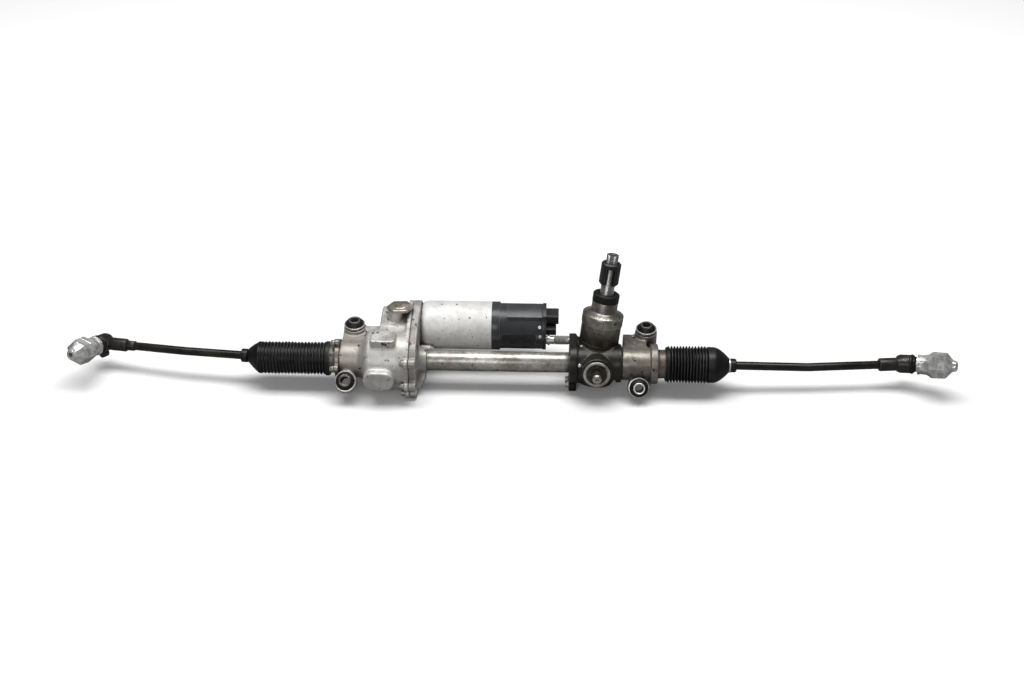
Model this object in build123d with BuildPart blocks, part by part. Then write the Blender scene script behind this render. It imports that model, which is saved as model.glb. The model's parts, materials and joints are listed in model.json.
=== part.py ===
"""Electric rack-and-pinion steering gear with a belt-driven ball screw.

X runs along the rack, Y towards the rear, Z up. The origin lies on the rack axis, midway
between the four mounting bushings. Lengths are in millimetres, angles in degrees.
"""
import os
from math import cos, pi, radians, sin

from build123d import *

os.makedirs("parts", exist_ok=True)

# ------------------------------------------------------------------ driving dimensions
fit_gap = 0.05                   # radial gap of pieces that seat in each other
running_gap = 0.3                # gap of pieces that move past each other
bar_clearance = 1.5              # room round the rack bar in castings and tube
floor_z = -50.0                  # lowest level of the castings, which the gear rests on

# Rack bar. It lies 20 to the left of its centred place.
bar_radius = 13.0
bar_left, bar_right = -355.0, 315.0
tooth_module = 2.0
tooth_height_above, tooth_height_below = 1.6, 2.2
rack_teeth_left, rack_teeth_right = 15, 9        # tooth gaps on each side of the pinion
screw_pitch, groove_depth, groove_width = 7.0, 1.2, 3.2
screw_left, screw_turns = -349.0, 28

# Pinion and input tower, on an axis that leans back and slants to the right
pinion_x, pinion_lean, pinion_slant = 166.0, 13.0, 7.0
pinion_teeth, pinion_face = 9, 32.0
pinion_tooth_tip, pinion_tooth_foot = 1.1, 3.4   # tooth thickness at the tip and at the root
input_radius, spline_radius, input_top = 11.3, 9.5, 187.0
torsion_bar_radius = 2.7
tower_bottom, band_bottom, band_top, shoulder_top = 36.0, 67.0, 83.5, 89.0
tower_radius, band_radius, collar_radius = 33.0, 34.2, 21.5
seal_bottom, seal_top, seal_radius = 106.0, 119.5, 22.0
coupling_bottom, coupling_top, coupling_radius, coupling_slot = 136.0, 173.5, 16.3, 14.0

# Ball nut, pulleys and belt
nut_left, nut_right, nut_wall = -256.0, -152.0, 8.0
ball_radius, balls_per_row = 1.5, 18
bearing_left, bearing_right, bearing_radius = -218.0, -198.0, 40.0
nut_radius = bar_radius + nut_wall
race_radius = nut_radius + 6.0
pulley_left, pulley_right = -186.0, -156.0
large_pulley_radius, small_pulley_radius, belt_thickness = 40.0, 15.4, 2.4

# Motor and its electronics
motor_y, motor_z, motor_radius = 72.0, 22.0, 41.0
motor_left, motor_right, motor_wall = -129.0, -10.0, 3.5
motor_shaft_radius, rotor_radius, stator_bore = 6.0, 23.2, 24.0
rotor_left, rotor_right = -103.0, -37.0
cover_ring_right, cover_right, end_plate_right = 4.0, 76.0, 82.0
cover_radius, cover_wall, end_plate_radius = 38.5, 4.0, 39.5
lead_y, lead_z, lead_radius = 46.0, 12.5, 8.0
power_y, power_z, signal_y, signal_z = 84.0, 35.0, 71.0, 17.5
vent_x, vent_y, vent_seat, vent_height, vent_radius, vent_lean = -163.0, 54.0, 66.5, 5.5, 23.0, 10.0

# Castings and rack tube
body_left, chamber_left, seam_x, cover_face_x = -260.0, -220.0, -143.0, -131.0
body_radius, chamber_radius, chamber_wall = 31.0, 50.0, 4.5
pad_x, pad_y, pad_length, pad_width, pad_top = -186.0, -12.0, 40.0, 30.0, 56.0
boss_x, boss_angle, boss_length, boss_width, boss_reach = -192.0, 183.0, 52.0, 36.0, 60.0
belt_end_radius, belt_chamber_left = 30.0, -196.0
tube_wall, tube_left, tube_right = 2.5, -127.0, 128.5
tube_radius = bar_radius + bar_clearance + tube_wall
socket_wall, socket_right = 3.5, -116.0
socket_radius = tube_radius + socket_wall
plate_left, plate_right, pinion_body_right = 121.0, 134.0, 208.0
pinion_body_radius = 32.0
right_body_radius, right_flange_left, right_flange_right = 27.5, 256.0, 268.0
right_flange_radius, neck_radius, neck_bore = 33.5, 24.0, 20.0
web_left, web_bottom, web_top = 211.0, -5.0, 25.0
rack_bush_left, rack_bush_right = 216.0, 236.0
left_neck_end, right_neck_end = -286.0, 289.0
left_boot_start, right_boot_start = -278.0, 281.0
left_flange_left, left_flange_radius = -268.0, 33.0
bolt_radius, bolt_height = 5.2, 6.0              # flanged hexagon heads of the castings' screws

# Yoke, on an axis that faces the front
yoke_radius, yoke_length, yoke_spring_length = 18.8, 26.0, 6.0
plug_radius, plug_front, plug_recess = 21.5, 48.0, 16.5
adjuster_radius, adjuster_tip = 6.0, 70.0

# Rubber mounting bushings
upper_bush_x, upper_bush_y, upper_bush_top = (-241.0, 250.0), 50.0, 45.0
lower_bush_places = [(-248.0, -56.0, -3.0), (237.0, -45.0, -18.0)]
lower_bush_tilts = (45.0, 30.0)
upper_bush_length, lower_bush_length = 50.0, 28.0
sleeve_bore, sleeve_wall, rubber_thickness, shell_wall = 7.25, 2.55, 4.4, 1.8
ear_wall, shell_stand, shell_show = 2.5, 8.0, 5.0
sleeve_radius = sleeve_bore + sleeve_wall
shell_radius = sleeve_radius + rubber_thickness + shell_wall

# Boots
boot_wall, cuff_radius, boot_cone_length, ridge_depth = 2.0, 28.0, 27.0, 4.0
left_boot_radius, left_ridges, left_ridges_end = 27.0, 20, -395.0
right_boot_radius, right_ridges, right_ridges_end = 30.5, 13, 349.0

# Tie rods
rod_radius, rod_bend, inner_ball_radius, inner_ball_gap = 7.0, 300.0, 12.0, 19.0
inner_socket_radius, neck_clip_radius = 17.0, 11.5
left_collar_start, right_collar_start, collar_length = 43.0, 54.0, 11.0   # from the inner ball
outer_ball_radius, joint_radius, joint_rim = 10.0, 15.5, 9.0
seat_gap, seat_wall = 0.15, 1.45
shank_radius, shank_start, shank_end, lock_nut_length = 11.0, 44.0, 12.0, 14.0
stud_neck_radius, stud_radius, stud_length = 6.0, 7.0, 76.0
cap_start, cap_body = 22.0, 44.0
cap_bevel, cap_nose, cap_end = stud_length - 2.0, stud_length + 3.0, stud_length + 9.0
cap_skirt_radius, cap_corner_radius, cap_nose_radius, cap_wall = 17.0, 22.5, 10.0, 1.4
left_knee, left_joint, left_stud = (-528.0, 15.0, -1.0), (-673.0, 41.0, -6.0), (-0.358, -0.874, 0.33)
right_knee, right_joint, right_stud = (520.0, 7.5, -7.0), (682.5, 19.0, -5.0), (0.886, -0.389, 0.252)

# ------------------------------------------------------------------ axes of the gear
pitch_radius = tooth_module * pinion_teeth / 2
pitch_line = bar_radius - 6.0                    # height of the rack's pitch line over its axis
rack_axis = Plane(origin=(0, 0, 0), x_dir=(0, 1, 0), z_dir=(1, 0, 0))
motor_axis = Plane(origin=(0, motor_y, motor_z), x_dir=(0, 1, 0), z_dir=(1, 0, 0))
vent_tilt = radians(vent_lean)
vent_axis = Plane(
    origin=(vent_x, vent_y, vent_seat), x_dir=(1, 0, 0), z_dir=(0, sin(vent_tilt), cos(vent_tilt))
)
lead_axis = Plane(origin=(0, lead_y, lead_z), x_dir=(0, 1, 0), z_dir=(1, 0, 0))
lean, slant = radians(pinion_lean), radians(pinion_slant)
tower_dir = Vector(sin(slant), cos(slant) * sin(lean), cos(slant) * cos(lean))
across_teeth = Vector(cos(slant), -sin(slant) * sin(lean), -sin(slant) * cos(lean))
mesh_dir = Vector(0, cos(lean), -sin(lean))
mesh_plane = Plane(origin=(pinion_x, 0, 0), x_dir=across_teeth, z_dir=tower_dir)
pinion_axis = Plane(
    origin=Vector(pinion_x, 0, 0) + mesh_dir * (pitch_line + pitch_radius),
    x_dir=across_teeth,
    z_dir=tower_dir,
)
yoke_axis = Plane(origin=(pinion_x, 0, 0), x_dir=(1, 0, 0), z_dir=-mesh_dir)
left_ball = Vector(bar_left - inner_ball_gap, 0, 0)
right_ball = Vector(bar_right + inner_ball_gap, 0, 0)


def upper_bush_axis(x):
    """Axis of an upper bushing, from its top face, pointing up."""
    return Plane(origin=(x, upper_bush_y, upper_bush_top), x_dir=(1, 0, 0), z_dir=(0, 0, 1))


def lower_bush_axis(side):
    """Axis of a lower bushing, left 0 or right 1, from its front face to the front and up."""
    tilt = radians(lower_bush_tilts[side])
    return Plane(
        origin=lower_bush_places[side], x_dir=(1, 0, 0), z_dir=(0, -cos(tilt), sin(tilt))
    )


bush_places = [(upper_bush_axis(x), upper_bush_length) for x in upper_bush_x]
bush_places += [(lower_bush_axis(side), lower_bush_length) for side in (0, 1)]


def cylinder_on(axis, start, end, radius, bore=0.0, mode=Mode.ADD):
    """Add or cut a cylinder or a ring along an axis plane's normal."""
    with BuildSketch(axis.offset(start)) as section:
        Circle(radius)
        if bore:
            Circle(bore, mode=Mode.SUBTRACT)
    extrude(section.sketch, amount=end - start, mode=mode)


def turned_on(axis, points, mode=Mode.ADD):
    """Add or cut a turned shape, given as (along the axis, radius) points."""
    with BuildSketch(Plane(origin=axis.origin, x_dir=axis.z_dir, z_dir=axis.y_dir)) as section:
        with BuildLine():
            Polyline(*points, close=True)
        make_face()
    revolve(section.sketch, axis=Axis(axis.origin, axis.z_dir), mode=mode)


def save(piece, name):
    """Label a finished piece and write it."""
    piece.part.label = name
    export_step(piece.part, f"parts/{name}.step")


# ------------------------------------------------------------------ left casting with belt chamber
cover_screw_circle = chamber_radius + bolt_radius + 0.8
cover_screw_angles = (150, 195, 226)
cover_ear_radius = bolt_radius + 2.8
foot_ear = (44.0, floor_z + cover_ear_radius)    # screw ear at the rear that the gear also rests on
rear_ears = [(motor_y + 41.0, motor_z - 2.0), (motor_y + 30.0, motor_z - 36.0)]
front_ears = [
    (cover_screw_circle * cos(radians(a)), cover_screw_circle * sin(radians(a)))
    for a in cover_screw_angles
]
cover_ears = front_ears + rear_ears + [foot_ear]


def chamber_outline(nut_side, motor_side):
    """Outline that wraps the nut pulley and the motor pulley."""
    Circle(nut_side)
    with Locations((motor_y, motor_z)):
        Circle(motor_side)
    make_hull()


def cover_outline():
    """Outline of the belt chamber's joint face, with its screw ears."""
    chamber_outline(chamber_radius, motor_radius)
    with Locations(*cover_ears):
        Circle(cover_ear_radius)
    with Locations((foot_ear[0] - 4, foot_ear[1] + 14)):
        Rectangle(16, 22)


flange_thickness = 8.0
with BuildPart() as screw_housing:
    cylinder_on(rack_axis, body_left, chamber_left + 1, body_radius)
    turned_on(rack_axis, [
        (chamber_left - 10, 0), (chamber_left - 10, body_radius - 0.5),
        (chamber_left - 2, body_radius + 4), (chamber_left + 5, chamber_radius - 3),
        (chamber_left + 9, chamber_radius), (seam_x, chamber_radius), (seam_x, 0),
    ])
    with BuildSketch(rack_axis.offset(belt_chamber_left)):
        chamber_outline(chamber_radius - 5, belt_end_radius)
    extrude(amount=seam_x - belt_chamber_left)
    with BuildSketch(rack_axis.offset(seam_x - flange_thickness)):
        cover_outline()
    extrude(amount=flange_thickness)
    # Machined pad on the top of the chamber, at its front
    with BuildSketch(Plane.XY.offset(chamber_radius - 15)):
        with Locations((pad_x, pad_y)):
            RectangleRounded(pad_length, pad_width, 5)
    extrude(amount=pad_top - chamber_radius + 15)
    # Oval boss on the front of the chamber
    boss_plane = Plane(
        origin=(boss_x, 0, 0), x_dir=(1, 0, 0),
        z_dir=(0, cos(radians(boss_angle)), sin(radians(boss_angle))),
    )
    with BuildSketch(boss_plane.offset(chamber_radius - 15)):
        SlotOverall(boss_length, boss_width)
    extrude(amount=boss_reach - chamber_radius + 15)
    # Vent stub on the rear of the chamber
    with BuildSketch(vent_axis.offset(-30)):
        with Locations((vent_radius / -3, 0)):
            Circle(vent_radius * 0.6)
    extrude(amount=30)
    # Ears of the two mounting bushings, each tied to the bearing body
    upper_x = upper_bush_x[0]
    ear_radius = shell_radius + ear_wall
    with BuildSketch(Plane.XY.offset(-5)):
        with Locations((upper_x, upper_bush_y)):
            Circle(ear_radius)
        with Locations((upper_x, 16)):
            Rectangle(2 * ear_radius, 20)
        make_hull()
    extrude(amount=30)
    cylinder_on(
        upper_bush_axis(upper_x), -upper_bush_length, -shell_stand - shell_show, ear_radius
    )
    cylinder_on(lower_bush_axis(0), -24, -shell_stand - shell_show, ear_radius)
    # Rib from the upper ear to the chamber
    with BuildSketch(Plane.XY.offset(18)):
        with Locations((chamber_left + 16, upper_bush_y - 4)):
            Rectangle(34, 16)
    extrude(amount=12)
    # Bores
    cylinder_on(rack_axis, body_left, bearing_left, nut_radius + bar_clearance, mode=Mode.SUBTRACT)
    cylinder_on(rack_axis, bearing_left - 1, seam_x, bearing_radius + fit_gap, mode=Mode.SUBTRACT)
    with BuildSketch(rack_axis.offset(pulley_left - 4)):
        chamber_outline(chamber_radius - chamber_wall, belt_end_radius - chamber_wall)
    extrude(amount=seam_x - pulley_left + 4, mode=Mode.SUBTRACT)
    for axis, length in (bush_places[0], bush_places[2]):
        cylinder_on(axis, -length - 30, 10, shell_radius + fit_gap, mode=Mode.SUBTRACT)
        cylinder_on(axis, -shell_stand - 2, 10, shell_radius + 1.8, mode=Mode.SUBTRACT)
save(screw_housing, "screw_housing")

# Six-sided plate on the vent stub
with BuildPart() as vent_plate:
    with BuildSketch(vent_axis):
        RegularPolygon(vent_radius, 6, rotation=4)
    extrude(amount=vent_height)
    top_face = vent_plate.faces().sort_by(Axis(vent_axis.origin, vent_axis.z_dir))[-1]
    chamfer(top_face.edges(), 1.5)
save(vent_plate, "vent_plate")

# ------------------------------------------------------------------ left end cap with boot neck
end_cap_screw_angles = (98, 172, 300)
end_cap_screws = [
    ((body_radius + 5) * cos(radians(a)), (body_radius + 5) * sin(radians(a)))
    for a in end_cap_screw_angles
]
with BuildPart() as left_end_cap:
    cylinder_on(rack_axis, left_neck_end, left_flange_left + 1, neck_radius)
    with BuildSketch(rack_axis.offset(left_flange_left)):
        Circle(left_flange_radius)
        with Locations(*end_cap_screws):
            Circle(7)
    extrude(amount=body_left - left_flange_left)
    cylinder_on(rack_axis, left_neck_end, body_left - 2, neck_bore, mode=Mode.SUBTRACT)
    cylinder_on(rack_axis, body_left - 3, body_left, bar_radius + bar_clearance, mode=Mode.SUBTRACT)
    # Relief around the ear of the lower bushing
    cylinder_on(
        lower_bush_axis(0), -40, 10, ear_radius + running_gap, mode=Mode.SUBTRACT
    )
save(left_end_cap, "left_end_cap")

# ------------------------------------------------------------------ drive cover between chamber and motor
with BuildPart() as drive_cover:
    with BuildSketch(rack_axis.offset(seam_x)):
        cover_outline()
    extrude(amount=cover_face_x - seam_x)
    turned_on(rack_axis, [
        (cover_face_x - 1, 0), (cover_face_x - 1, 32), (cover_face_x, 32),
        (motor_left - 0.3, socket_radius + 2.5), (socket_right - 4, socket_radius),
        (socket_right, socket_radius), (socket_right, 0),
    ])
    cylinder_on(motor_axis, cover_face_x - 1, motor_left, motor_radius)
    # Rib from the joint face down to the tube socket
    rib_dir = Vector(0, cos(radians(236)), sin(radians(236)))
    rib_plane = Plane(origin=(0, 0, 0), x_dir=(1, 0, 0), z_dir=rib_dir.cross(Vector(1, 0, 0)))
    rib_side = 1 if rib_plane.y_dir.dot(rib_dir) > 0 else -1
    with BuildSketch(rib_plane.offset(-6)):
        with BuildLine():
            Polyline(
                (cover_face_x - 1, 18 * rib_side), (cover_face_x - 1, 49 * rib_side),
                (cover_face_x + 6, 46 * rib_side), (socket_right - 1, 29 * rib_side),
                (socket_right - 1, 18 * rib_side), close=True,
            )
        make_face()
    extrude(amount=12)
    cylinder_on(rack_axis, tube_left, socket_right, tube_radius + fit_gap, mode=Mode.SUBTRACT)
    cylinder_on(rack_axis, seam_x, socket_right, bar_radius + bar_clearance, mode=Mode.SUBTRACT)
    cylinder_on(motor_axis, seam_x, motor_left, 14, mode=Mode.SUBTRACT)
save(drive_cover, "drive_cover")

# ------------------------------------------------------------------ rack tube
with BuildPart() as rack_tube:
    cylinder_on(rack_axis, tube_left, tube_right, tube_radius, tube_radius - tube_wall)
save(rack_tube, "rack_tube")

# ------------------------------------------------------------------ pinion housing
with BuildPart() as pinion_housing:
    with BuildSketch(rack_axis.offset(plate_left)):
        Circle(pinion_body_radius + 2)
        with Locations((lead_y, lead_z)):
            Circle(lead_radius + 4)
        make_hull()
        with Locations((7, floor_z + 12)):
            Rectangle(44, 24)
    extrude(amount=plate_right - plate_left)
    cylinder_on(rack_axis, plate_right, pinion_body_right, pinion_body_radius)
    cylinder_on(pinion_axis, -38, tower_bottom, tower_radius)
    cylinder_on(yoke_axis, 0, plug_front - 3, plug_radius + 4)
    # Shoulder that ties the tower to the joint plate
    with BuildSketch(Plane.XY.offset(-8)):
        with Locations((pinion_x - 27, 26)):
            Rectangle(30, 40)
    extrude(amount=30)
    # Bores of the rack, the pinion, its bearings, the yoke and its plug
    cylinder_on(rack_axis, plate_left, pinion_body_right, bar_radius + bar_clearance, mode=Mode.SUBTRACT)
    cylinder_on(rack_axis, plate_left, tube_right + 0.3, tube_radius + fit_gap, mode=Mode.SUBTRACT)
    cylinder_on(pinion_axis, -34, tower_bottom, 14, mode=Mode.SUBTRACT)
    cylinder_on(pinion_axis, 18, tower_bottom, 17, mode=Mode.SUBTRACT)
    cylinder_on(yoke_axis, 4, plug_front, yoke_radius + 0.15, mode=Mode.SUBTRACT)
    cylinder_on(yoke_axis, plug_front - 10, plug_front, plug_radius + fit_gap, mode=Mode.SUBTRACT)
save(pinion_housing, "pinion_housing")

# ------------------------------------------------------------------ right casting with boot neck
with BuildPart() as right_housing:
    cylinder_on(rack_axis, pinion_body_right, right_flange_left + 1, right_body_radius)
    cylinder_on(rack_axis, right_flange_left, right_flange_right, right_flange_radius)
    cylinder_on(rack_axis, right_flange_right - 1, right_neck_end, neck_radius)
    upper_x = upper_bush_x[1]
    # Square web that carries the upper bushing, with a pocket beside it
    with BuildSketch(Plane.XY.offset(web_bottom)):
        with Locations(((web_left + upper_x) / 2, upper_bush_y / 2)):
            Rectangle(upper_x - web_left, upper_bush_y)
    extrude(amount=web_top - web_bottom)
    cylinder_on(
        upper_bush_axis(upper_x), -upper_bush_length, -shell_stand - shell_show, ear_radius
    )
    cylinder_on(lower_bush_axis(1), -24, -shell_stand - shell_show, ear_radius)
    with BuildSketch(Plane.XY.offset(web_bottom)):
        with BuildLine():
            Polyline(
                (web_left + 4, right_body_radius + 1), (web_left + 4, upper_bush_y - 4),
                (upper_x - ear_radius - 2, upper_bush_y - 4),
                (upper_x - ear_radius + 6, right_body_radius + 1), close=True,
            )
        make_face()
    extrude(amount=web_top - web_bottom - 5, mode=Mode.SUBTRACT)
    with BuildSketch(Plane.XY.offset(web_top - 12)):
        with BuildLine():
            Polyline(
                (web_left + 14, upper_bush_y - 6), (upper_x - ear_radius - 2, upper_bush_y - 6),
                (upper_x - ear_radius + 4, right_body_radius + 4), close=True,
            )
        make_face()
    extrude(amount=13, mode=Mode.SUBTRACT)
    cylinder_on(
        rack_axis, pinion_body_right, right_flange_right - 6, bar_radius + bar_clearance, mode=Mode.SUBTRACT
    )
    cylinder_on(
        rack_axis, right_flange_right - 6, right_neck_end, neck_bore, mode=Mode.SUBTRACT
    )
    for axis, length in (bush_places[1], bush_places[3]):
        cylinder_on(axis, -length - 30, 10, shell_radius + fit_gap, mode=Mode.SUBTRACT)
        cylinder_on(axis, -shell_stand - 2, 10, shell_radius + 1.8, mode=Mode.SUBTRACT)
save(right_housing, "right_housing")

# Plastic bush that guides the rack bar in the right casting
with BuildPart() as rack_bush:
    cylinder_on(
        rack_axis, rack_bush_left, rack_bush_right, bar_radius + bar_clearance - fit_gap, bar_radius + running_gap / 2
    )
save(rack_bush, "rack_bush")

# ------------------------------------------------------------------ mounting bushings
with BuildPart() as bushing_shells:
    for axis, length in bush_places:
        cylinder_on(axis, -length, -shell_stand, shell_radius, shell_radius - shell_wall)
        cylinder_on(axis, -shell_stand - 1.6, -shell_stand, shell_radius + 1.4, shell_radius)
save(bushing_shells, "bushing_shells")

rubber_outer = shell_radius - shell_wall - fit_gap
rubber_inner = sleeve_radius + fit_gap
with BuildPart() as bushing_rubbers:
    for axis, length in bush_places:
        turned_on(axis, [
            (-length + 1, rubber_inner), (-length + 1, rubber_outer), (-shell_stand, rubber_outer),
            (-shell_stand, shell_radius), (-1.5, sleeve_radius + 1.8), (-0.8, rubber_inner),
        ])
save(bushing_rubbers, "bushing_rubbers")

with BuildPart() as bushing_sleeves:
    for axis, length in bush_places:
        cylinder_on(axis, -length, 0, sleeve_radius, sleeve_bore)
save(bushing_sleeves, "bushing_sleeves")

# ------------------------------------------------------------------ rack bar
groove_half, groove_floor = groove_width / 2, bar_radius - groove_depth
bar_profile = [(bar_left, 0), (bar_left, bar_radius - 1), (bar_left + 1, bar_radius)]
for turn in range(screw_turns):
    centre = screw_left + 2 + turn * screw_pitch
    bar_profile += [
        (centre - groove_half, bar_radius), (centre - groove_half + 0.6, groove_floor),
        (centre + groove_half - 0.6, groove_floor), (centre + groove_half, bar_radius),
    ]
bar_profile += [(bar_right - 1, bar_radius), (bar_right, bar_radius - 1), (bar_right, 0)]

tooth_pitch = pi * tooth_module
tip_line, root_line = pitch_line + tooth_height_above, pitch_line - tooth_height_below
flank_run = (tip_line - root_line) * 0.364       # 20 degree flanks
gap_foot = tooth_pitch / 2 - 2 * tooth_height_below * 0.364 + 0.5
gap_mouth = gap_foot + 2 * flank_run
spigot_radius, spigot_length = 7.0, 16.0
with BuildPart() as rack_bar:
    turned_on(rack_axis, bar_profile)
    toothed_left = -(rack_teeth_left + 0.5) * tooth_pitch
    toothed_right = (rack_teeth_right + 0.5) * tooth_pitch
    with BuildSketch(mesh_plane.offset(-2 * bar_radius)):
        with Locations(((toothed_left + toothed_right) / 2, tip_line + 5)):
            Rectangle(toothed_right - toothed_left, 10)
        for gap in range(-rack_teeth_left, rack_teeth_right + 1):
            x = gap * tooth_pitch
            with BuildLine():
                Polyline(
                    (x - gap_mouth / 2, tip_line + 0.01), (x - gap_foot / 2, root_line),
                    (x + gap_foot / 2, root_line), (x + gap_mouth / 2, tip_line + 0.01), close=True,
                )
            make_face()
    extrude(amount=4 * bar_radius, mode=Mode.SUBTRACT)
    cylinder_on(
        rack_axis, bar_left, bar_left + spigot_length, spigot_radius + fit_gap, mode=Mode.SUBTRACT
    )
    cylinder_on(
        rack_axis, bar_right - spigot_length, bar_right, spigot_radius + fit_gap,
        mode=Mode.SUBTRACT,
    )
save(rack_bar, "rack_bar")

# ------------------------------------------------------------------ pinion and its bearings
tip_radius = pitch_radius + tooth_height_above - 0.2
root_radius = pitch_radius - tooth_height_below
with BuildPart() as pinion_shaft:
    cylinder_on(pinion_axis, -33.5, -pinion_face / 2, 8)
    cylinder_on(pinion_axis, -pinion_face / 2, pinion_face / 2, root_radius)
    with BuildSketch(pinion_axis.offset(-pinion_face / 2)):
        for tooth in range(pinion_teeth):
            turn = -90 + tooth * 360 / pinion_teeth
            with BuildLine(Plane.XY.rotated((0, 0, turn))):
                Polyline(
                    (root_radius - 1.5, -pinion_tooth_foot / 2),
                    (root_radius + 0.5, -pinion_tooth_foot / 2),
                    (tip_radius, -pinion_tooth_tip / 2), (tip_radius, pinion_tooth_tip / 2),
                    (root_radius + 0.5, pinion_tooth_foot / 2),
                    (root_radius - 1.5, pinion_tooth_foot / 2), close=True,
                )
            make_face()
    extrude(amount=pinion_face)
    cylinder_on(pinion_axis, pinion_face / 2, tower_bottom - 1.5, 10)
    with BuildSketch(pinion_axis.offset(tower_bottom - 2)):
        Rectangle(15, 7)
    extrude(amount=11)
    cylinder_on(
        pinion_axis, 20, tower_bottom + 10, torsion_bar_radius + fit_gap, mode=Mode.SUBTRACT
    )
save(pinion_shaft, "pinion_shaft")

with BuildPart() as torsion_bar:
    cylinder_on(pinion_axis, 20.5, input_top - 10, torsion_bar_radius)
save(torsion_bar, "torsion_bar")

# ------------------------------------------------------------------ input shaft, tower and coupling
cup_radius, cup_top, dog_play = 13.5, tower_bottom + 14, 6.5
serrations = 30
with BuildPart() as input_shaft:
    cylinder_on(pinion_axis, tower_bottom, cup_top, cup_radius)
    cylinder_on(pinion_axis, cup_top - 1, coupling_bottom, input_radius)
    cylinder_on(pinion_axis, coupling_bottom, input_top - 16, spline_radius)
    # Serrated end
    with BuildSketch(pinion_axis.offset(input_top - 16)):
        Circle(spline_radius - 0.6)
        with PolarLocations(spline_radius - 0.6, serrations):
            RegularPolygon(0.95, 4)
    extrude(amount=16)
    # Socket that takes the pinion's tongue with the play of the torsion bar
    with BuildSketch(pinion_axis.offset(tower_bottom)):
        for angle in (-dog_play, 0, dog_play):
            Rectangle(15.8, 7.6, rotation=angle)
    extrude(amount=10, mode=Mode.SUBTRACT)
    cylinder_on(
        pinion_axis, tower_bottom, input_top, torsion_bar_radius + 0.5, mode=Mode.SUBTRACT
    )
    cylinder_on(pinion_axis, input_top - 9, input_top, 4.7, mode=Mode.SUBTRACT)
save(input_shaft, "input_shaft")

tower_wall = 5.0
with BuildPart() as sensor_housing:
    turned_on(pinion_axis, [
        (tower_bottom, 0), (tower_bottom, tower_radius), (band_top, tower_radius),
        (shoulder_top - 2, collar_radius + 4), (shoulder_top, collar_radius),
        (seal_bottom, collar_radius), (seal_bottom, 0),
    ])
    cylinder_on(
        pinion_axis, tower_bottom, band_top - 3, tower_radius - tower_wall, mode=Mode.SUBTRACT
    )
    cylinder_on(pinion_axis, band_top - 4, seal_bottom, 17, mode=Mode.SUBTRACT)
save(sensor_housing, "sensor_housing")

with BuildPart() as sensor_band:
    cylinder_on(pinion_axis, band_bottom, band_top, band_radius, tower_radius + fit_gap)
    with BuildSketch(pinion_axis.offset(band_bottom)):
        with Locations((0, -band_radius)):
            Rectangle(1.4, 8)
    extrude(amount=band_top - band_bottom, mode=Mode.SUBTRACT)
save(sensor_band, "sensor_band")

with BuildPart() as torque_sensor:
    cylinder_on(
        pinion_axis, band_bottom - 14, band_bottom + 6, tower_radius - tower_wall - fit_gap, 15
    )
save(torque_sensor, "torque_sensor")

with BuildPart() as tower_seal:
    cylinder_on(pinion_axis, seal_bottom, seal_top, seal_radius, input_radius + 0.15)
    fillet(
        tower_seal.faces().sort_by(Axis(pinion_axis.origin, tower_dir))[-1].edges()
        .sort_by(SortBy.RADIUS)[-1],
        2,
    )
save(tower_seal, "tower_seal")

with BuildPart() as coupling_sleeve:
    turned_on(pinion_axis, [
        (coupling_bottom, spline_radius + fit_gap), (coupling_bottom, coupling_radius - 2.5),
        (coupling_bottom + 3, coupling_radius), (coupling_top - 2, coupling_radius),
        (coupling_top, coupling_radius - 2), (coupling_top, spline_radius + 2.5),
        (coupling_top - 4, spline_radius + fit_gap),
    ])
    with BuildSketch(pinion_axis.offset(coupling_bottom)):
        with Locations((0, -coupling_radius)):
            Rectangle(coupling_slot, 2 * (coupling_radius - 5))
    extrude(amount=coupling_top - coupling_bottom - 8, mode=Mode.SUBTRACT)
save(coupling_sleeve, "coupling_sleeve")

# ------------------------------------------------------------------ yoke that presses the bar on the pinion
with BuildPart() as yoke:
    cylinder_on(yoke_axis, 6, 6 + yoke_length, yoke_radius)
    cylinder_on(rack_axis, pinion_x - 30, pinion_x + 30, bar_radius + 0.1, mode=Mode.SUBTRACT)
save(yoke, "yoke")

yoke_back = 6 + yoke_length
wire_radius = 1.1
with BuildPart() as yoke_spring:
    with BuildLine() as coil:
        Helix(
            pitch=2.6, height=yoke_spring_length - 2 * wire_radius, radius=9,
            center=yoke_axis.offset(yoke_back + wire_radius).origin, direction=yoke_axis.z_dir,
        )
    with BuildSketch(Plane(origin=coil.line @ 0, z_dir=coil.line % 0)):
        Circle(wire_radius - 0.05)
    sweep()
save(yoke_spring, "yoke_spring")

with BuildPart() as yoke_plug:
    cylinder_on(yoke_axis, yoke_back + yoke_spring_length, plug_front, plug_radius)
    cylinder_on(yoke_axis, plug_front - 5, plug_front, plug_recess, mode=Mode.SUBTRACT)
    chamfer(
        yoke_plug.faces().sort_by(Axis(yoke_axis.origin, yoke_axis.z_dir))[-1].edges(), 1.2
    )
    cylinder_on(
        yoke_axis, yoke_back, plug_front, adjuster_radius + fit_gap, mode=Mode.SUBTRACT
    )
save(yoke_plug, "yoke_plug")

with BuildPart() as adjuster_screw:
    cylinder_on(yoke_axis, plug_front - 9.5, adjuster_tip - 8, adjuster_radius)
    turned_on(yoke_axis, [
        (adjuster_tip - 8, 0), (adjuster_tip - 8, 7.5), (adjuster_tip - 2, 7.5),
        (adjuster_tip, 5.5), (adjuster_tip, 0),
    ])
    with BuildSketch(yoke_axis.offset(adjuster_tip - 3)):
        RegularPolygon(3.2, 6)
    extrude(amount=3, mode=Mode.SUBTRACT)
save(adjuster_screw, "adjuster_screw")

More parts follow.
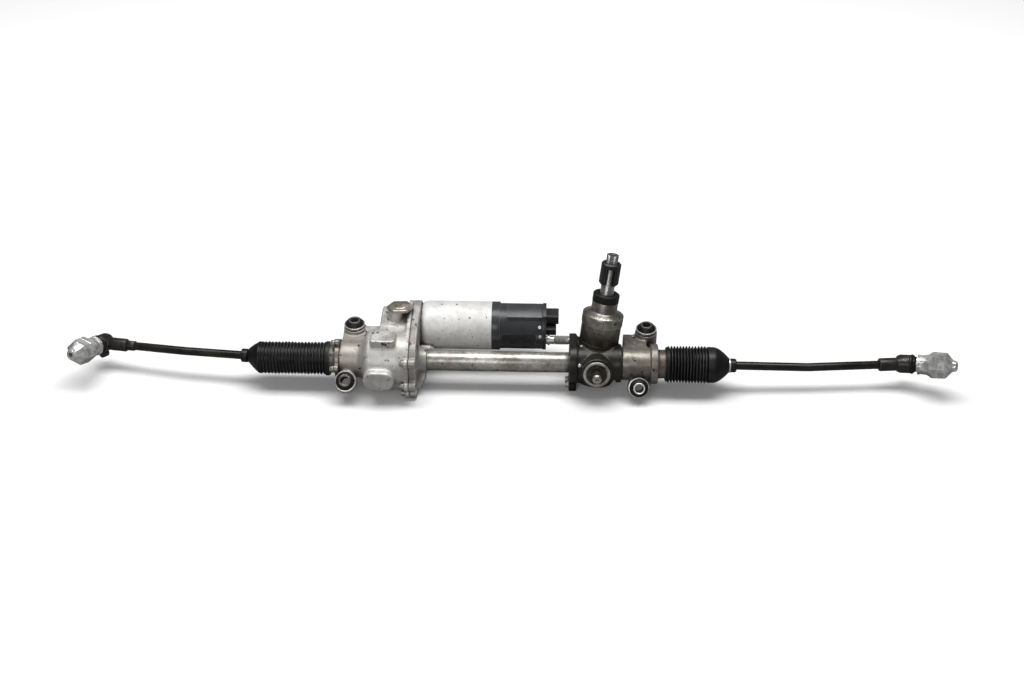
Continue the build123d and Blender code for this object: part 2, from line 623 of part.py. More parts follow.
# ------------------------------------------------------------------ ball nut, pulleys, bearing and belt
ball_circle = bar_radius + ball_radius + 0.25
ball_rows = [nut_left + 18 + row * 2 * screw_pitch for row in range(3)]
with BuildPart() as ball_nut:
    cylinder_on(rack_axis, nut_left, nut_right, nut_radius, bar_radius + running_gap)
    cylinder_on(rack_axis, bearing_left, bearing_right, race_radius, nut_radius - 1)
    for row in ball_rows:
        with BuildSketch(Plane.XZ):
            with Locations((row, ball_circle)):
                Circle(ball_radius + 0.1)
        revolve(axis=Axis.X, mode=Mode.SUBTRACT)
save(ball_nut, "ball_nut")

with BuildPart() as nut_balls:
    for row in ball_rows:
        with Locations(rack_axis.offset(row)):
            with PolarLocations(ball_circle, balls_per_row):
                Sphere(ball_radius)
save(nut_balls, "nut_balls")

with BuildPart() as large_pulley:
    cylinder_on(
        rack_axis, pulley_left, pulley_right, large_pulley_radius, large_pulley_radius - 7
    )
    cylinder_on(rack_axis, pulley_left + 8, pulley_right - 8, large_pulley_radius - 6, nut_radius)
    cylinder_on(
        rack_axis, pulley_left, pulley_right, nut_radius + 5, nut_radius - 1,
    )
    cylinder_on(rack_axis, pulley_left, pulley_right, nut_radius + fit_gap, mode=Mode.SUBTRACT)
save(large_pulley, "large_pulley")

with BuildPart() as small_pulley:
    cylinder_on(
        motor_axis, pulley_left, pulley_right, small_pulley_radius, motor_shaft_radius + fit_gap
    )
save(small_pulley, "small_pulley")

with BuildPart() as belt:
    with BuildSketch(rack_axis.offset(pulley_left + 2)):
        chamber_outline(
            large_pulley_radius + running_gap + belt_thickness,
            small_pulley_radius + running_gap + belt_thickness,
        )
    extrude(amount=pulley_right - pulley_left - 4)
    with BuildSketch(rack_axis.offset(pulley_left + 2)):
        chamber_outline(large_pulley_radius + running_gap, small_pulley_radius + running_gap)
    extrude(amount=pulley_right - pulley_left - 4, mode=Mode.SUBTRACT)
save(belt, "belt")

# ------------------------------------------------------------------ motor
motor_bolt_angles = (205, -20)
motor_bolt_circle = motor_radius + bolt_radius + 0.4
motor_bolt_places = [
    (motor_bolt_circle * cos(radians(a)), motor_bolt_circle * sin(radians(a)))
    for a in motor_bolt_angles
]
motor_ear_length = 16.0
bearing_seat = 13.0
with BuildPart() as motor_case:
    turned_on(motor_axis, [
        (motor_left, 0), (motor_left, motor_radius - 7), (motor_left + 3, motor_radius - 3),
        (motor_left + 8, motor_radius - 0.6), (motor_left + 14, motor_radius),
        (motor_right, motor_radius), (motor_right, 0),
    ])
    with BuildSketch(motor_axis.offset(motor_left)):
        with Locations(*motor_bolt_places):
            Circle(bolt_radius + 1)
    extrude(amount=motor_ear_length)
    cylinder_on(
        motor_axis, motor_left + 8, motor_right, motor_radius - motor_wall, mode=Mode.SUBTRACT
    )
    cylinder_on(motor_axis, motor_left + 7, motor_left + 18, bearing_seat + 3)
    cylinder_on(
        motor_axis, motor_left + 7, motor_left + 18, bearing_seat + fit_gap, mode=Mode.SUBTRACT
    )
    cylinder_on(motor_axis, motor_left, motor_left + 8, motor_shaft_radius + 2, mode=Mode.SUBTRACT)
save(motor_case, "motor_case")

stack_left, stack_right = rotor_left - 1, rotor_right + 1
with BuildPart() as stator:
    cylinder_on(
        motor_axis, stack_left, stack_right, motor_radius - motor_wall - fit_gap, stator_bore
    )
    with BuildSketch(motor_axis.offset(stack_left)):
        with PolarLocations((stator_bore + motor_radius - motor_wall) / 2 - 1.5, 12):
            Rectangle(8, 6)
    extrude(amount=stack_right - stack_left, mode=Mode.SUBTRACT)
    # Winding heads beyond both ends of the stack
    for start in (stack_left - 8 - fit_gap, stack_right + fit_gap):
        cylinder_on(motor_axis, start, start + 8, motor_radius - motor_wall - 2, stator_bore + 2)
save(stator, "stator")

with BuildPart() as rotor:
    cylinder_on(motor_axis, pulley_left - 1, motor_right - 4, motor_shaft_radius)
    cylinder_on(
        motor_axis, rotor_left, rotor_right, rotor_radius, motor_shaft_radius + fit_gap
    )
save(rotor, "rotor")

with BuildPart() as end_shield:
    cylinder_on(
        motor_axis, motor_right - 16, motor_right - 11, motor_radius - motor_wall - fit_gap,
        13 + fit_gap,
    )
    cylinder_on(motor_axis, motor_right - 16, motor_right - 5, 16, 13 + fit_gap)
save(end_shield, "end_shield")

# Outer races of every rolling bearing: nut, pinion, input shaft and rotor
with BuildPart() as bearings:
    cylinder_on(rack_axis, bearing_left, bearing_right, bearing_radius, race_radius + 0.2)
    cylinder_on(pinion_axis, -33.5, -20, 14 - fit_gap, 8.15)
    cylinder_on(pinion_axis, 19, tower_bottom - 3, 17 - fit_gap, 10.15)
    cylinder_on(pinion_axis, seal_bottom - 16, seal_bottom - 2, 17 - fit_gap, input_radius + 0.15)
    cylinder_on(motor_axis, motor_left + 8.5, motor_left + 17.5, 13, motor_shaft_radius + 0.15)
    cylinder_on(motor_axis, motor_right - 15.5, motor_right - 6, 13, motor_shaft_radius + 0.15)
save(bearings, "bearings")

# ------------------------------------------------------------------ electronics cover and its connectors


def cover_side(angle):
    """Plane through the motor axis whose normal leaves it at this angle in the YZ plane."""
    return Plane(
        origin=(0, motor_y, motor_z), x_dir=(1, 0, 0),
        z_dir=(0, cos(radians(angle)), sin(radians(angle))),
    )


with BuildPart() as electronics_cover:
    cylinder_on(motor_axis, motor_right, cover_ring_right, motor_radius)
    cylinder_on(motor_axis, cover_ring_right, cover_right, cover_radius)
    with BuildSketch(cover_side(105).offset(20)):
        with Locations((cover_right - 30, 0)):
            Rectangle(60, 30)
    extrude(amount=21)
    with BuildSketch(cover_side(187).offset(cover_radius - 2.7)):
        with Locations(((cover_ring_right + cover_right) / 2 - 4, 0)):
            RectangleRounded(cover_right - cover_ring_right - 14, 36, 9)
    extrude(amount=10, mode=Mode.SUBTRACT)
    cylinder_on(
        motor_axis, motor_right, cover_right, cover_radius - cover_wall, mode=Mode.SUBTRACT
    )
save(electronics_cover, "electronics_cover")

board_x = 40.0
with BuildPart() as circuit_board:
    cylinder_on(motor_axis, board_x, board_x + 1.6, cover_radius - cover_wall - fit_gap)
    for y in (-18, 0, 18):
        with BuildSketch(motor_axis.offset(board_x + 1.6)):
            with Locations((y, -12)):
                Circle(7)
            with Locations((y, 14)):
                Rectangle(12, 10)
        extrude(amount=16 if y else 10)
save(circuit_board, "circuit_board")

# End plate, moulded with the power connector above and the signal connector below
power_axis = Plane(origin=(0, power_y, power_z), x_dir=(0, 1, 0), z_dir=(1, 0, 0))
signal_axis = Plane(origin=(0, signal_y, signal_z), x_dir=(0, 1, 0), z_dir=(1, 0, 0))
with BuildPart() as connector_plate:
    with BuildSketch(motor_axis.offset(cover_right)):
        Circle(end_plate_radius)
        with Locations((-14, 37)):
            Rectangle(26, 12, rotation=14)
    extrude(amount=end_plate_right - cover_right)
    with BuildSketch(power_axis.offset(end_plate_right)):
        RectangleRounded(28, 17, 4)
    extrude(amount=21)
    with BuildSketch(power_axis.offset(end_plate_right + 6)):
        RectangleRounded(24, 13, 2.5)
    extrude(amount=15, mode=Mode.SUBTRACT)
    with BuildSketch(power_axis.offset(end_plate_right + 5)):
        with Locations((-6, 0), (6, 0)):
            Rectangle(7, 1.2)
    extrude(amount=10)
    with BuildSketch(signal_axis.offset(end_plate_right)):
        RectangleRounded(22, 13, 3)
    extrude(amount=17)
    with BuildSketch(signal_axis.offset(end_plate_right + 5)):
        RectangleRounded(18.4, 9.4, 1.6)
    extrude(amount=12, mode=Mode.SUBTRACT)
    with BuildSketch(signal_axis.offset(end_plate_right + 4)):
        with GridLocations(4, 3.6, 4, 2):
            Rectangle(0.8, 0.8)
    extrude(amount=7)
save(connector_plate, "connector_plate")

# Short lead from the electronics to the torque sensor: metal plug, then a sleeve
plug_right = end_plate_right + 16
with BuildPart() as sensor_lead:
    cylinder_on(lead_axis, end_plate_right, plug_right, lead_radius - 0.5)
    cylinder_on(lead_axis, end_plate_right + 3, end_plate_right + 6, lead_radius + 1)
    cylinder_on(lead_axis, plug_right + fit_gap, plate_left, lead_radius)
save(sensor_lead, "sensor_lead")

# ------------------------------------------------------------------ screws of the castings


def screw_heads(axis, places, seat, side=1):
    """Flanged hexagon heads standing on a face across an axis."""
    for place in places:
        with BuildSketch(axis.offset(seat)) as flange:
            with Locations(place):
                Circle(bolt_radius)
        extrude(flange.sketch, amount=side * bolt_height * 0.35)
        with BuildSketch(axis.offset(seat + side * bolt_height * 0.35)) as hexagon:
            with Locations(place):
                RegularPolygon(bolt_radius * 0.9, 6)
        extrude(hexagon.sketch, amount=side * bolt_height * 0.65)


plate_screws = [(-20, -30), (8, floor_z + 9), (24, 28)]
with BuildPart() as housing_bolts:
    screw_heads(rack_axis, cover_ears, seam_x - flange_thickness, side=-1)
    screw_heads(rack_axis, end_cap_screws, left_flange_left, side=-1)
    screw_heads(rack_axis, plate_screws, plate_left, side=-1)
    screw_heads(motor_axis, motor_bolt_places, motor_left + motor_ear_length)
save(housing_bolts, "housing_bolts")

# ------------------------------------------------------------------ tie rods


def ball_shell(axis, inner, outer, mouth, back, mode=Mode.ADD):
    """Spherical shell about an axis plane's origin, open from 0 to mouth and past back."""
    first, last = radians(mouth), radians(back)
    middle = (first + last) / 2
    with BuildSketch(Plane(origin=axis.origin, x_dir=axis.z_dir, z_dir=axis.y_dir)) as section:
        with BuildLine():
            points = [
                [(r * cos(a), r * sin(a)) for a in (first, middle, last)] for r in (inner, outer)
            ]
            ThreePointArc(*points[0])
            Line(points[0][2], points[1][2])
            ThreePointArc(*reversed(points[1]))
            Line(points[1][0], points[0][0])
        make_face()
    revolve(section.sketch, axis=Axis(axis.origin, axis.z_dir), mode=mode)


def make_tie_rod(side, ball, knee, joint, stud, rack_end, collar_start, plug_side, cap_turn, with_nut):
    """Write every piece of one tie rod, from the bar's end to the cap on its outer stud."""
    outboard = 1 if side == "right" else -1
    knee, joint, stud = Vector(*knee), Vector(*joint), Vector(*stud).normalized()
    start = (knee - ball).normalized()
    run = (joint - knee).normalized()
    bar_dir = Vector(outboard, 0, 0)
    socket_axis = Plane(origin=ball, x_dir=(0, 1, 0), z_dir=bar_dir)
    rod_axis = Plane(origin=ball, x_dir=(0, 0, 1), z_dir=start)
    shank_axis = Plane(origin=joint, x_dir=(0, 0, 1), z_dir=-run)
    across_dir = run.cross(stud).normalized()
    stud_axis = Plane(origin=joint, x_dir=across_dir, z_dir=stud)
    cavity = inner_ball_radius + seat_gap + seat_wall + 0.2
    bar_face = abs(rack_end - ball.X)

    # Socket screwed on the end of the bar, closed over the ball past its widest place
    with BuildPart() as inner_socket:
        turned_on(socket_axis, [
            (-bar_face, 0), (-bar_face, inner_socket_radius - 2),
            (-bar_face + 2, inner_socket_radius), (5, inner_socket_radius),
            (9, inner_socket_radius - 3), (9, 0),
        ])
        cylinder_on(socket_axis, -bar_face - spigot_length + 1, -bar_face, spigot_radius)
        with Locations(ball):
            Sphere(cavity, mode=Mode.SUBTRACT)
        turned_on(
            socket_axis,
            [(4, 0), (4, cavity * 0.87), (7, 12.2), (10, 14.0), (10, 0)],
            mode=Mode.SUBTRACT,
        )
    save(inner_socket, f"inner_socket_{side}")

    with BuildPart() as inner_seat:
        ball_shell(
            rod_axis, inner_ball_radius + seat_gap, inner_ball_radius + seat_gap + seat_wall, 62, 150
        )
    save(inner_seat, f"inner_seat_{side}")

    # Rod with the inner ball at one end and its threaded end in the rod end's shank
    with BuildPart() as tie_rod:
        with Locations(ball):
            Sphere(inner_ball_radius)
        with BuildLine():
            FilletPolyline(ball, knee, joint - run * (shank_end + 12), radius=rod_bend)
        with BuildSketch(Plane(origin=ball, z_dir=start)):
            Circle(rod_radius)
        sweep()
        if with_nut:
            # Lock nut against the rod end's shank, a solid of its own
            with BuildSketch(shank_axis.offset(shank_start + fit_gap)):
                RegularPolygon(9.2, 6)
                Circle(rod_radius + fit_gap, mode=Mode.SUBTRACT)
            extrude(amount=lock_nut_length)
    save(tie_rod, f"tie_rod_{side}")

    with BuildPart() as neck_clip:
        cylinder_on(
            rod_axis, collar_start, collar_start + collar_length, neck_clip_radius,
            rod_radius + fit_gap,
        )
        chamfer(neck_clip.edges().filter_by(GeomType.CIRCLE).group_by(SortBy.RADIUS)[-1], 1)
    save(neck_clip, f"neck_clip_{side}")

    # Rod end: shank, arm and the cup of the outer ball joint
    outer_cavity = outer_ball_radius + seat_gap + seat_wall + 0.2
    plug_dir = Vector(*plug_side)
    plug_dir = (plug_dir - stud * plug_dir.dot(stud)).normalized()
    boss_axis = Plane(origin=joint + plug_dir * (joint_radius + 3.5), z_dir=stud)
    with BuildPart() as rod_end:
        turned_on(shank_axis, [
            (0, 0), (0, 8.5), (shank_end, 10.0), (shank_end + 4, shank_radius),
            (shank_start - 1, shank_radius), (shank_start, shank_radius - 1), (shank_start, 0),
        ])
        turned_on(stud_axis, [
            (-16, 0), (-16, 9), (-13, 13.5), (-8, joint_radius), (joint_rim, joint_radius),
            (joint_rim, 0),
        ])
        cylinder_on(boss_axis, -8, 4, 6.5)
        cylinder_on(
            shank_axis, shank_end + 10, shank_start, rod_radius + fit_gap, mode=Mode.SUBTRACT
        )
        with Locations(joint):
            Sphere(outer_cavity, mode=Mode.SUBTRACT)
        turned_on(
            stud_axis,
            [(4, 0), (4, outer_cavity * 0.9), (6, 10.5), (joint_rim + 1, 13.0), (joint_rim + 1, 0)],
            mode=Mode.SUBTRACT,
        )
        # Grease plug in the boss beside the cup, a solid of its own
        cylinder_on(boss_axis, 4 + fit_gap, 6, 3.2)
    save(rod_end, f"rod_end_{side}")

    with BuildPart() as outer_seat:
        ball_shell(
            stud_axis, outer_ball_radius + seat_gap, outer_ball_radius + seat_gap + seat_wall,
            58, 150,
        )
    save(outer_seat, f"outer_seat_{side}")

    # Stud with its ball, the collar that the cap is pressed on, and a hexagon socket at its end
    with BuildPart() as ball_stud:
        with Locations(joint):
            Sphere(outer_ball_radius)
        turned_on(stud_axis, [
            (0, 0), (0, stud_neck_radius), (cap_start + 1, stud_neck_radius),
            (cap_start + 2, cap_skirt_radius - cap_wall - fit_gap),
            (cap_start + 6, cap_skirt_radius - cap_wall - fit_gap), (cap_start + 6, 11),
            (cap_start + 16, 11), (cap_start + 17, stud_radius), (stud_length - 1, stud_radius),
            (stud_length, stud_radius - 1), (stud_length, 0),
        ])
        with BuildSketch(stud_axis.offset(stud_length - 5)):
            RegularPolygon(2.6, 6)
        extrude(amount=5, mode=Mode.SUBTRACT)
    save(ball_stud, f"ball_stud_{side}")

    # Sheet cap over the stud: round skirt, hexagon body, bevel and nose
    with BuildPart() as shield_cap:
        for shrink, mode in ((0.0, Mode.ADD), (cap_wall, Mode.SUBTRACT)):
            cylinder_on(
                stud_axis, cap_start - shrink, cap_body, cap_skirt_radius - shrink, mode=mode
            )
            with BuildSketch(stud_axis.offset(cap_body - 4 + shrink)):
                Circle(cap_skirt_radius - shrink)
            with BuildSketch(stud_axis.offset(cap_body + 3 + shrink)):
                RegularPolygon(cap_corner_radius - shrink, 6, rotation=cap_turn)
            loft(mode=mode)
            with BuildSketch(stud_axis.offset(cap_body + 3 + shrink)):
                RegularPolygon(cap_corner_radius - shrink, 6, rotation=cap_turn)
            extrude(amount=cap_bevel - cap_body - 3 - 2 * shrink, mode=mode)
            with BuildSketch(stud_axis.offset(cap_bevel - shrink)):
                RegularPolygon(cap_corner_radius - shrink, 6, rotation=cap_turn)
            with BuildSketch(stud_axis.offset(cap_nose - shrink)):
                RegularPolygon(cap_nose_radius + 2 - shrink, 6, rotation=cap_turn)
            loft(mode=mode)
        cylinder_on(stud_axis, cap_nose - 1, cap_end, cap_nose_radius)
        cylinder_on(stud_axis, cap_nose - 3, cap_end, 2.6, mode=Mode.SUBTRACT)
    save(shield_cap, f"shield_cap_{side}")

    # Rubber boot between cup and cap
    with BuildPart() as dust_boot:
        turned_on(stud_axis, [
            (joint_rim + 0.1, stud_neck_radius + 3), (joint_rim + 0.1, joint_radius - 0.5),
            (joint_rim + 4, joint_radius + 0.5), (joint_rim + 8, joint_radius - 1),
            (cap_start - 1, stud_neck_radius + 4), (cap_start - 1, stud_neck_radius + 0.1),
            (cap_start - 4, stud_neck_radius + 0.1),
        ])
    save(dust_boot, f"dust_boot_{side}")


make_tie_rod(
    "left", left_ball, left_knee, left_joint, left_stud, bar_left, left_collar_start,
    plug_side=(-0.04, -0.28, -0.92), cap_turn=8, with_nut=True,
)
make_tie_rod(
    "right", right_ball, right_knee, right_joint, right_stud, bar_right, right_collar_start,
    plug_side=(0.25, 0.6, -0.75), cap_turn=0, with_nut=False,
)

# ------------------------------------------------------------------ boots over the inner joints


def ridge_outline(start, end, crest, ridges):
    """Points (along the axis, radius) of a boot's ridges, closed at the axis."""
    pitch = (end - start) / ridges
    valley = crest - ridge_depth
    points = [(start, 0)]
    for ridge in range(ridges):
        foot = start + ridge * pitch
        points += [
            (foot, valley), (foot + pitch * 0.3, crest),
            (foot + pitch * 0.6, crest), (foot + pitch * 0.9, valley),
        ]
    return points + [(end, valley), (end, 0)]


def make_boot(side, ball, knee, collar_start, neck_end, boot_start, radius, ridges, ridges_end):
    """Rubber boot from the casting's neck to the clip on the tie rod."""
    outboard = 1 if side == "right" else -1
    inside = radius - ridge_depth - boot_wall
    start = (Vector(*knee) - ball).normalized()
    axis = Plane(origin=(0, 0, 0), x_dir=(0, 1, 0), z_dir=(outboard, 0, 0))
    cone_start = max(abs(ball.X + start.X * collar_start) - boot_cone_length, abs(ridges_end))
    with BuildPart() as boot:
        cylinder_on(axis, abs(neck_end), abs(neck_end) + boot_wall, cuff_radius)
        turned_on(axis, ridge_outline(abs(neck_end) + 1, abs(ridges_end), radius, ridges))
        cylinder_on(axis, abs(ridges_end) - 1, cone_start + fit_gap, radius)
        cylinder_on(axis, abs(neck_end), cone_start, inside, mode=Mode.SUBTRACT)
        for shrink, mode in ((0.0, Mode.ADD), (boot_wall, Mode.SUBTRACT)):
            with BuildSketch(axis.offset(cone_start)):
                Circle(radius - shrink)
            with BuildSketch(Plane(origin=ball + start * (collar_start - 0.5), z_dir=start)):
                Circle(rod_radius + fit_gap + boot_wall - shrink)
            loft(mode=mode)
        cylinder_on(axis, abs(boot_start), abs(neck_end), cuff_radius, neck_radius + fit_gap)
    save(boot, f"boot_{side}")


make_boot(
    "left", left_ball, left_knee, left_collar_start, left_neck_end, left_boot_start,
    left_boot_radius, left_ridges, left_ridges_end,
)
make_boot(
    "right", right_ball, right_knee, right_collar_start, right_neck_end, right_boot_start,
    right_boot_radius, right_ridges, right_ridges_end,
)

with BuildPart() as boot_bands:
    for end in (left_neck_end, right_neck_end):
        towards = -1 if end > 0 else 1
        cylinder_on(
            rack_axis, end + towards * 1.5, end + towards * 6.5, cuff_radius + 0.8,
            cuff_radius + fit_gap,
        )
save(boot_bands, "boot_bands")
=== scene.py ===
"""Finish of the electric steering gear: castings, motor, boots, tie rods and their wear."""
import json
import random
from math import atan2, cos, pi, radians, sin

import bmesh
import bpy
from mathutils import Matrix, Vector, noise

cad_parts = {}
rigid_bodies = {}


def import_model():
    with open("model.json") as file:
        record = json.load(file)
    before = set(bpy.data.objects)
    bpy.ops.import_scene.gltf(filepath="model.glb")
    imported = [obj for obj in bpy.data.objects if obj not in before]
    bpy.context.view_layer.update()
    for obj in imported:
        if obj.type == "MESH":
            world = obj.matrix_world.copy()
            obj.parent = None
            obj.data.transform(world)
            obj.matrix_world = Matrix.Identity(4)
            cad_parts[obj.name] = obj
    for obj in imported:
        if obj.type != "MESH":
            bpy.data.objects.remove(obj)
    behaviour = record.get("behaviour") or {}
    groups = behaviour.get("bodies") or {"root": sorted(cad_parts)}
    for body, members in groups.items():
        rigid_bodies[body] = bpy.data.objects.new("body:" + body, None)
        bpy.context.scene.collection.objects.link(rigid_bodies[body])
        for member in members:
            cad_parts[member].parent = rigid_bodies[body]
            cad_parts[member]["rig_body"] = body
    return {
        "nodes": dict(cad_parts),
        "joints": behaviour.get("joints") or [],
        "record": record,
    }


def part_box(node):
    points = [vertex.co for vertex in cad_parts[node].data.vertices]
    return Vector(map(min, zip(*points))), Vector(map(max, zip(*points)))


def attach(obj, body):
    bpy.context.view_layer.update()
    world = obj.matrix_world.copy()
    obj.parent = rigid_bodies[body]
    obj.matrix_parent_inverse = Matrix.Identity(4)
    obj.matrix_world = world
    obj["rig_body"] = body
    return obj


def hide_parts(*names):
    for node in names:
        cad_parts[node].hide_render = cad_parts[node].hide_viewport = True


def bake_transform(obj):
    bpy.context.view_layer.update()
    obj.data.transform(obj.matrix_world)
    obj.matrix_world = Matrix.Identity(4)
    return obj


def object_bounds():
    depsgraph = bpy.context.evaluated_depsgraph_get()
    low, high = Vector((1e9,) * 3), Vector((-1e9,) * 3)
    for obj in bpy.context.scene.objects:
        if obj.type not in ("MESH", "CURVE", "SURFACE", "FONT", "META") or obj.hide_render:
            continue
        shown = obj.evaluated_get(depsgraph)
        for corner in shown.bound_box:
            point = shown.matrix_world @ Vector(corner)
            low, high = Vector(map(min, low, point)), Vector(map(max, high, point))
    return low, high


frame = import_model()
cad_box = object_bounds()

MM = 0.001
joint_of = {joint["name"]: joint for joint in frame["joints"]}
mount_of = {mount["name"]: mount for mount in frame["record"]["mounts"]}
rack_direction = (1.0, 0.0, 0.0)
tower_direction = tuple(joint_of["pinion_spin"]["axis"])

# ------------------------------------------------------------------ studio
# A plain white floor that the castings rest on, one large soft box overhead and a weak one at
# the front, and a camera that looks down at the gear from the front.
camera_azimuth, camera_elevation = radians(1.65), radians(36.0)
camera_distance, view_offset_right, view_offset_up = 2.375, 0.0259, 0.0329
floor_level = cad_box[0][2] - 0.1 * MM
floor_size = 6.0
floor_white, floor_grey = 0.95, 0.26                 # as the camera sees it, and as the metal does
floor_glow_near, floor_glow_far = 0.02, 0.5          # its own light under the gear, and far from it
glow_starts, glow_full = 0.35, 1.0                   # metres from the middle
sky_light, sky_mirrored, sky_seen = 0.20, 0.12, 1.0  # strength for surfaces, mirrors and the camera

to_camera = Vector((
    sin(camera_azimuth) * cos(camera_elevation),
    -cos(camera_azimuth) * cos(camera_elevation),
    sin(camera_elevation),
))
camera_right = Vector((cos(camera_azimuth), sin(camera_azimuth), 0.0))
camera_up = to_camera.cross(camera_right)
camera_data = bpy.data.cameras.new("studio_camera")
camera_data.lens = 50.0
camera_data.clip_start = 0.05
studio_camera = bpy.data.objects.new("studio_camera", camera_data)
bpy.context.collection.objects.link(studio_camera)
aim = camera_right * view_offset_right + camera_up * view_offset_up
studio_camera.matrix_world = Matrix.Translation(aim + to_camera * camera_distance) @ Matrix((
    camera_right, camera_up, to_camera)).transposed().to_4x4()
bpy.context.scene.camera = studio_camera
bpy.context.scene.view_settings.view_transform = "Standard"


def soft_box(name, place, aimed_at, size, watts):
    """Rectangular area light that faces a point."""
    light = bpy.data.lights.new(name, "AREA")
    light.shape = "RECTANGLE"
    light.size, light.size_y = size
    light.energy = watts
    box = bpy.data.objects.new(name, light)
    box.location = place
    box.rotation_euler = (Vector(aimed_at) - Vector(place)).to_track_quat("-Z", "Y").to_euler()
    bpy.context.collection.objects.link(box)


soft_box("top_light", (0.0, 0.22, 1.7), (0.0, 0.0, 0.0), (2.4, 0.75), 38.0)
soft_box("front_light", (-0.5, -2.2, 1.3), (0.0, 0.0, 0.0), (1.6, 0.8), 12.0)


def add_node(tree, kind, inputs=None, **settings):
    """Adds a shader node, with its settings, and gives each named input a value or a link."""
    made = tree.nodes.new("ShaderNode" + kind)
    for key, value in settings.items():
        setattr(made, key, value)
    for name, value in (inputs or {}).items():
        socket = made.inputs[name]
        if isinstance(value, bpy.types.NodeSocket):
            tree.links.new(value, socket)
        else:
            socket.default_value = value
    return made


def number(tree, operation, a, b=0.5, c=0.0, clamp=False):
    """One Math node's result."""
    return add_node(tree, "Math", {0: a, 1: b, 2: c}, operation=operation, use_clamp=clamp).outputs[0]


def level(tree, value, start=0.0, end=1.0, low=0.0, high=1.0):
    """A value between two ends, brought between two levels and held there."""
    return add_node(tree, "MapRange", {"Value": value, "From Min": start, "From Max": end,
                                       "To Min": low, "To Max": high}).outputs[0]


world = bpy.data.worlds.new("studio_white")
bpy.context.scene.world = world
world.use_nodes = True
world.node_tree.nodes.clear()
seen = add_node(world.node_tree, "LightPath")
glow, mirrored, white = (
    add_node(world.node_tree, "Background", {"Color": (1, 1, 1, 1), "Strength": strength}).outputs[0]
    for strength in (sky_light, sky_mirrored, sky_seen)
)
bounced = add_node(world.node_tree, "MixShader", {0: seen.outputs["Is Glossy Ray"], 1: glow, 2: mirrored})
choice = add_node(world.node_tree, "MixShader", {0: seen.outputs["Is Camera Ray"], 1: bounced.outputs[0],
                                                 2: white})
add_node(world.node_tree, "OutputWorld", {"Surface": choice.outputs[0]})

floor_mesh = bpy.data.meshes.new("studio_floor")
floor_work = bmesh.new()
bmesh.ops.create_grid(floor_work, x_segments=1, y_segments=1, size=floor_size)
floor_work.to_mesh(floor_mesh)
floor_work.free()
floor_mesh.transform(Matrix.Translation((0, 0, floor_level)))
studio_floor = bpy.data.objects.new("studio_floor", floor_mesh)
bpy.context.collection.objects.link(studio_floor)
floor_paint = bpy.data.materials.new("studio_floor")
floor_paint.use_nodes = True
floor_tree = floor_paint.node_tree
floor_shader = floor_tree.nodes["Principled BSDF"]
floor_shader.inputs["Roughness"].default_value = 0.9
floor_shader.inputs["Specular IOR Level"].default_value = 0.0
floor_shader.inputs["Emission Color"].default_value = (1, 1, 1, 1)
floor_seen = add_node(floor_tree, "LightPath").outputs["Is Camera Ray"]
floor_place = add_node(floor_tree, "TexCoord").outputs["Object"]
floor_reach = add_node(floor_tree, "VectorMath", {0: floor_place, 1: (0.7, 1.0, 0.0)},
                       operation="MULTIPLY").outputs[0]
floor_far = add_node(floor_tree, "VectorMath", {0: floor_reach}, operation="LENGTH").outputs["Value"]
floor_glow = level(floor_tree, floor_far, glow_starts, glow_full, floor_glow_near, floor_glow_far)
floor_tree.links.new(level(floor_tree, floor_seen, low=floor_grey, high=floor_white),
                     floor_shader.inputs["Base Color"])
floor_tree.links.new(number(floor_tree, "MULTIPLY", floor_glow, floor_seen),
                     floor_shader.inputs["Emission Strength"])
floor_mesh.materials.append(floor_paint)

# ------------------------------------------------------------------ left casting and drive cover
# Sand-rough aluminium castings: the long one holds the ball nut in its bearing body and the belt
# in its chamber, and the cover closes the chamber towards the motor. Screws join them.


def plain_copy(node):
    """A CAD node's mesh as a new bmesh, with its loose triangles joined."""
    work = bmesh.new()
    work.from_mesh(frame["nodes"][node].data)
    bmesh.ops.remove_doubles(work, verts=work.verts, dist=0.002 * MM)
    return work


def new_object(name, work, material, crease):
    """Makes a bmesh an object with one material, smooth apart from its creases."""
    mesh = bpy.data.meshes.new(name)
    work.to_mesh(mesh)
    work.free()
    mesh.shade_smooth()
    mesh.set_sharp_from_angle(angle=radians(crease))
    mesh.materials.append(material)
    made = bpy.data.objects.new(name, mesh)
    bpy.context.collection.objects.link(made)
    return made


def add_piece(name, work, material, node, crease=32.0):
    """A piece that stands for a CAD node and rides on its body."""
    piece = new_object(name, work, material, crease)
    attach(piece, frame["nodes"][node]["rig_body"])
    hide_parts(node)


def add_detail(name, work, material, body, crease=32.0):
    """A small piece without a CAD node of its own, which rides on a body."""
    piece = new_object(name, work, material, crease)
    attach(piece, body)


def cast_piece(node, material, grain, softening=4):
    """A cast form of a CAD node: remeshed at the grain's size, its edges melted a little."""
    work = plain_copy(node)
    mesh = bpy.data.meshes.new(f"{node}_raw")
    work.to_mesh(mesh)
    work.free()
    raw = bpy.data.objects.new(f"{node}_raw", mesh)
    bpy.context.collection.objects.link(raw)
    remesh = raw.modifiers.new("grain", "REMESH")
    remesh.mode = "VOXEL"
    remesh.voxel_size = grain
    solid = bpy.data.meshes.new_from_object(raw.evaluated_get(bpy.context.evaluated_depsgraph_get()))
    bpy.data.objects.remove(raw)
    cast = bmesh.new()
    cast.from_mesh(solid)
    for _ in range(softening):
        bmesh.ops.smooth_vert(cast, verts=cast.verts, factor=0.5, use_axis_x=True, use_axis_y=True,
                              use_axis_z=True)
    add_piece(f"{node}_casting", cast, material, node, crease=60.0)


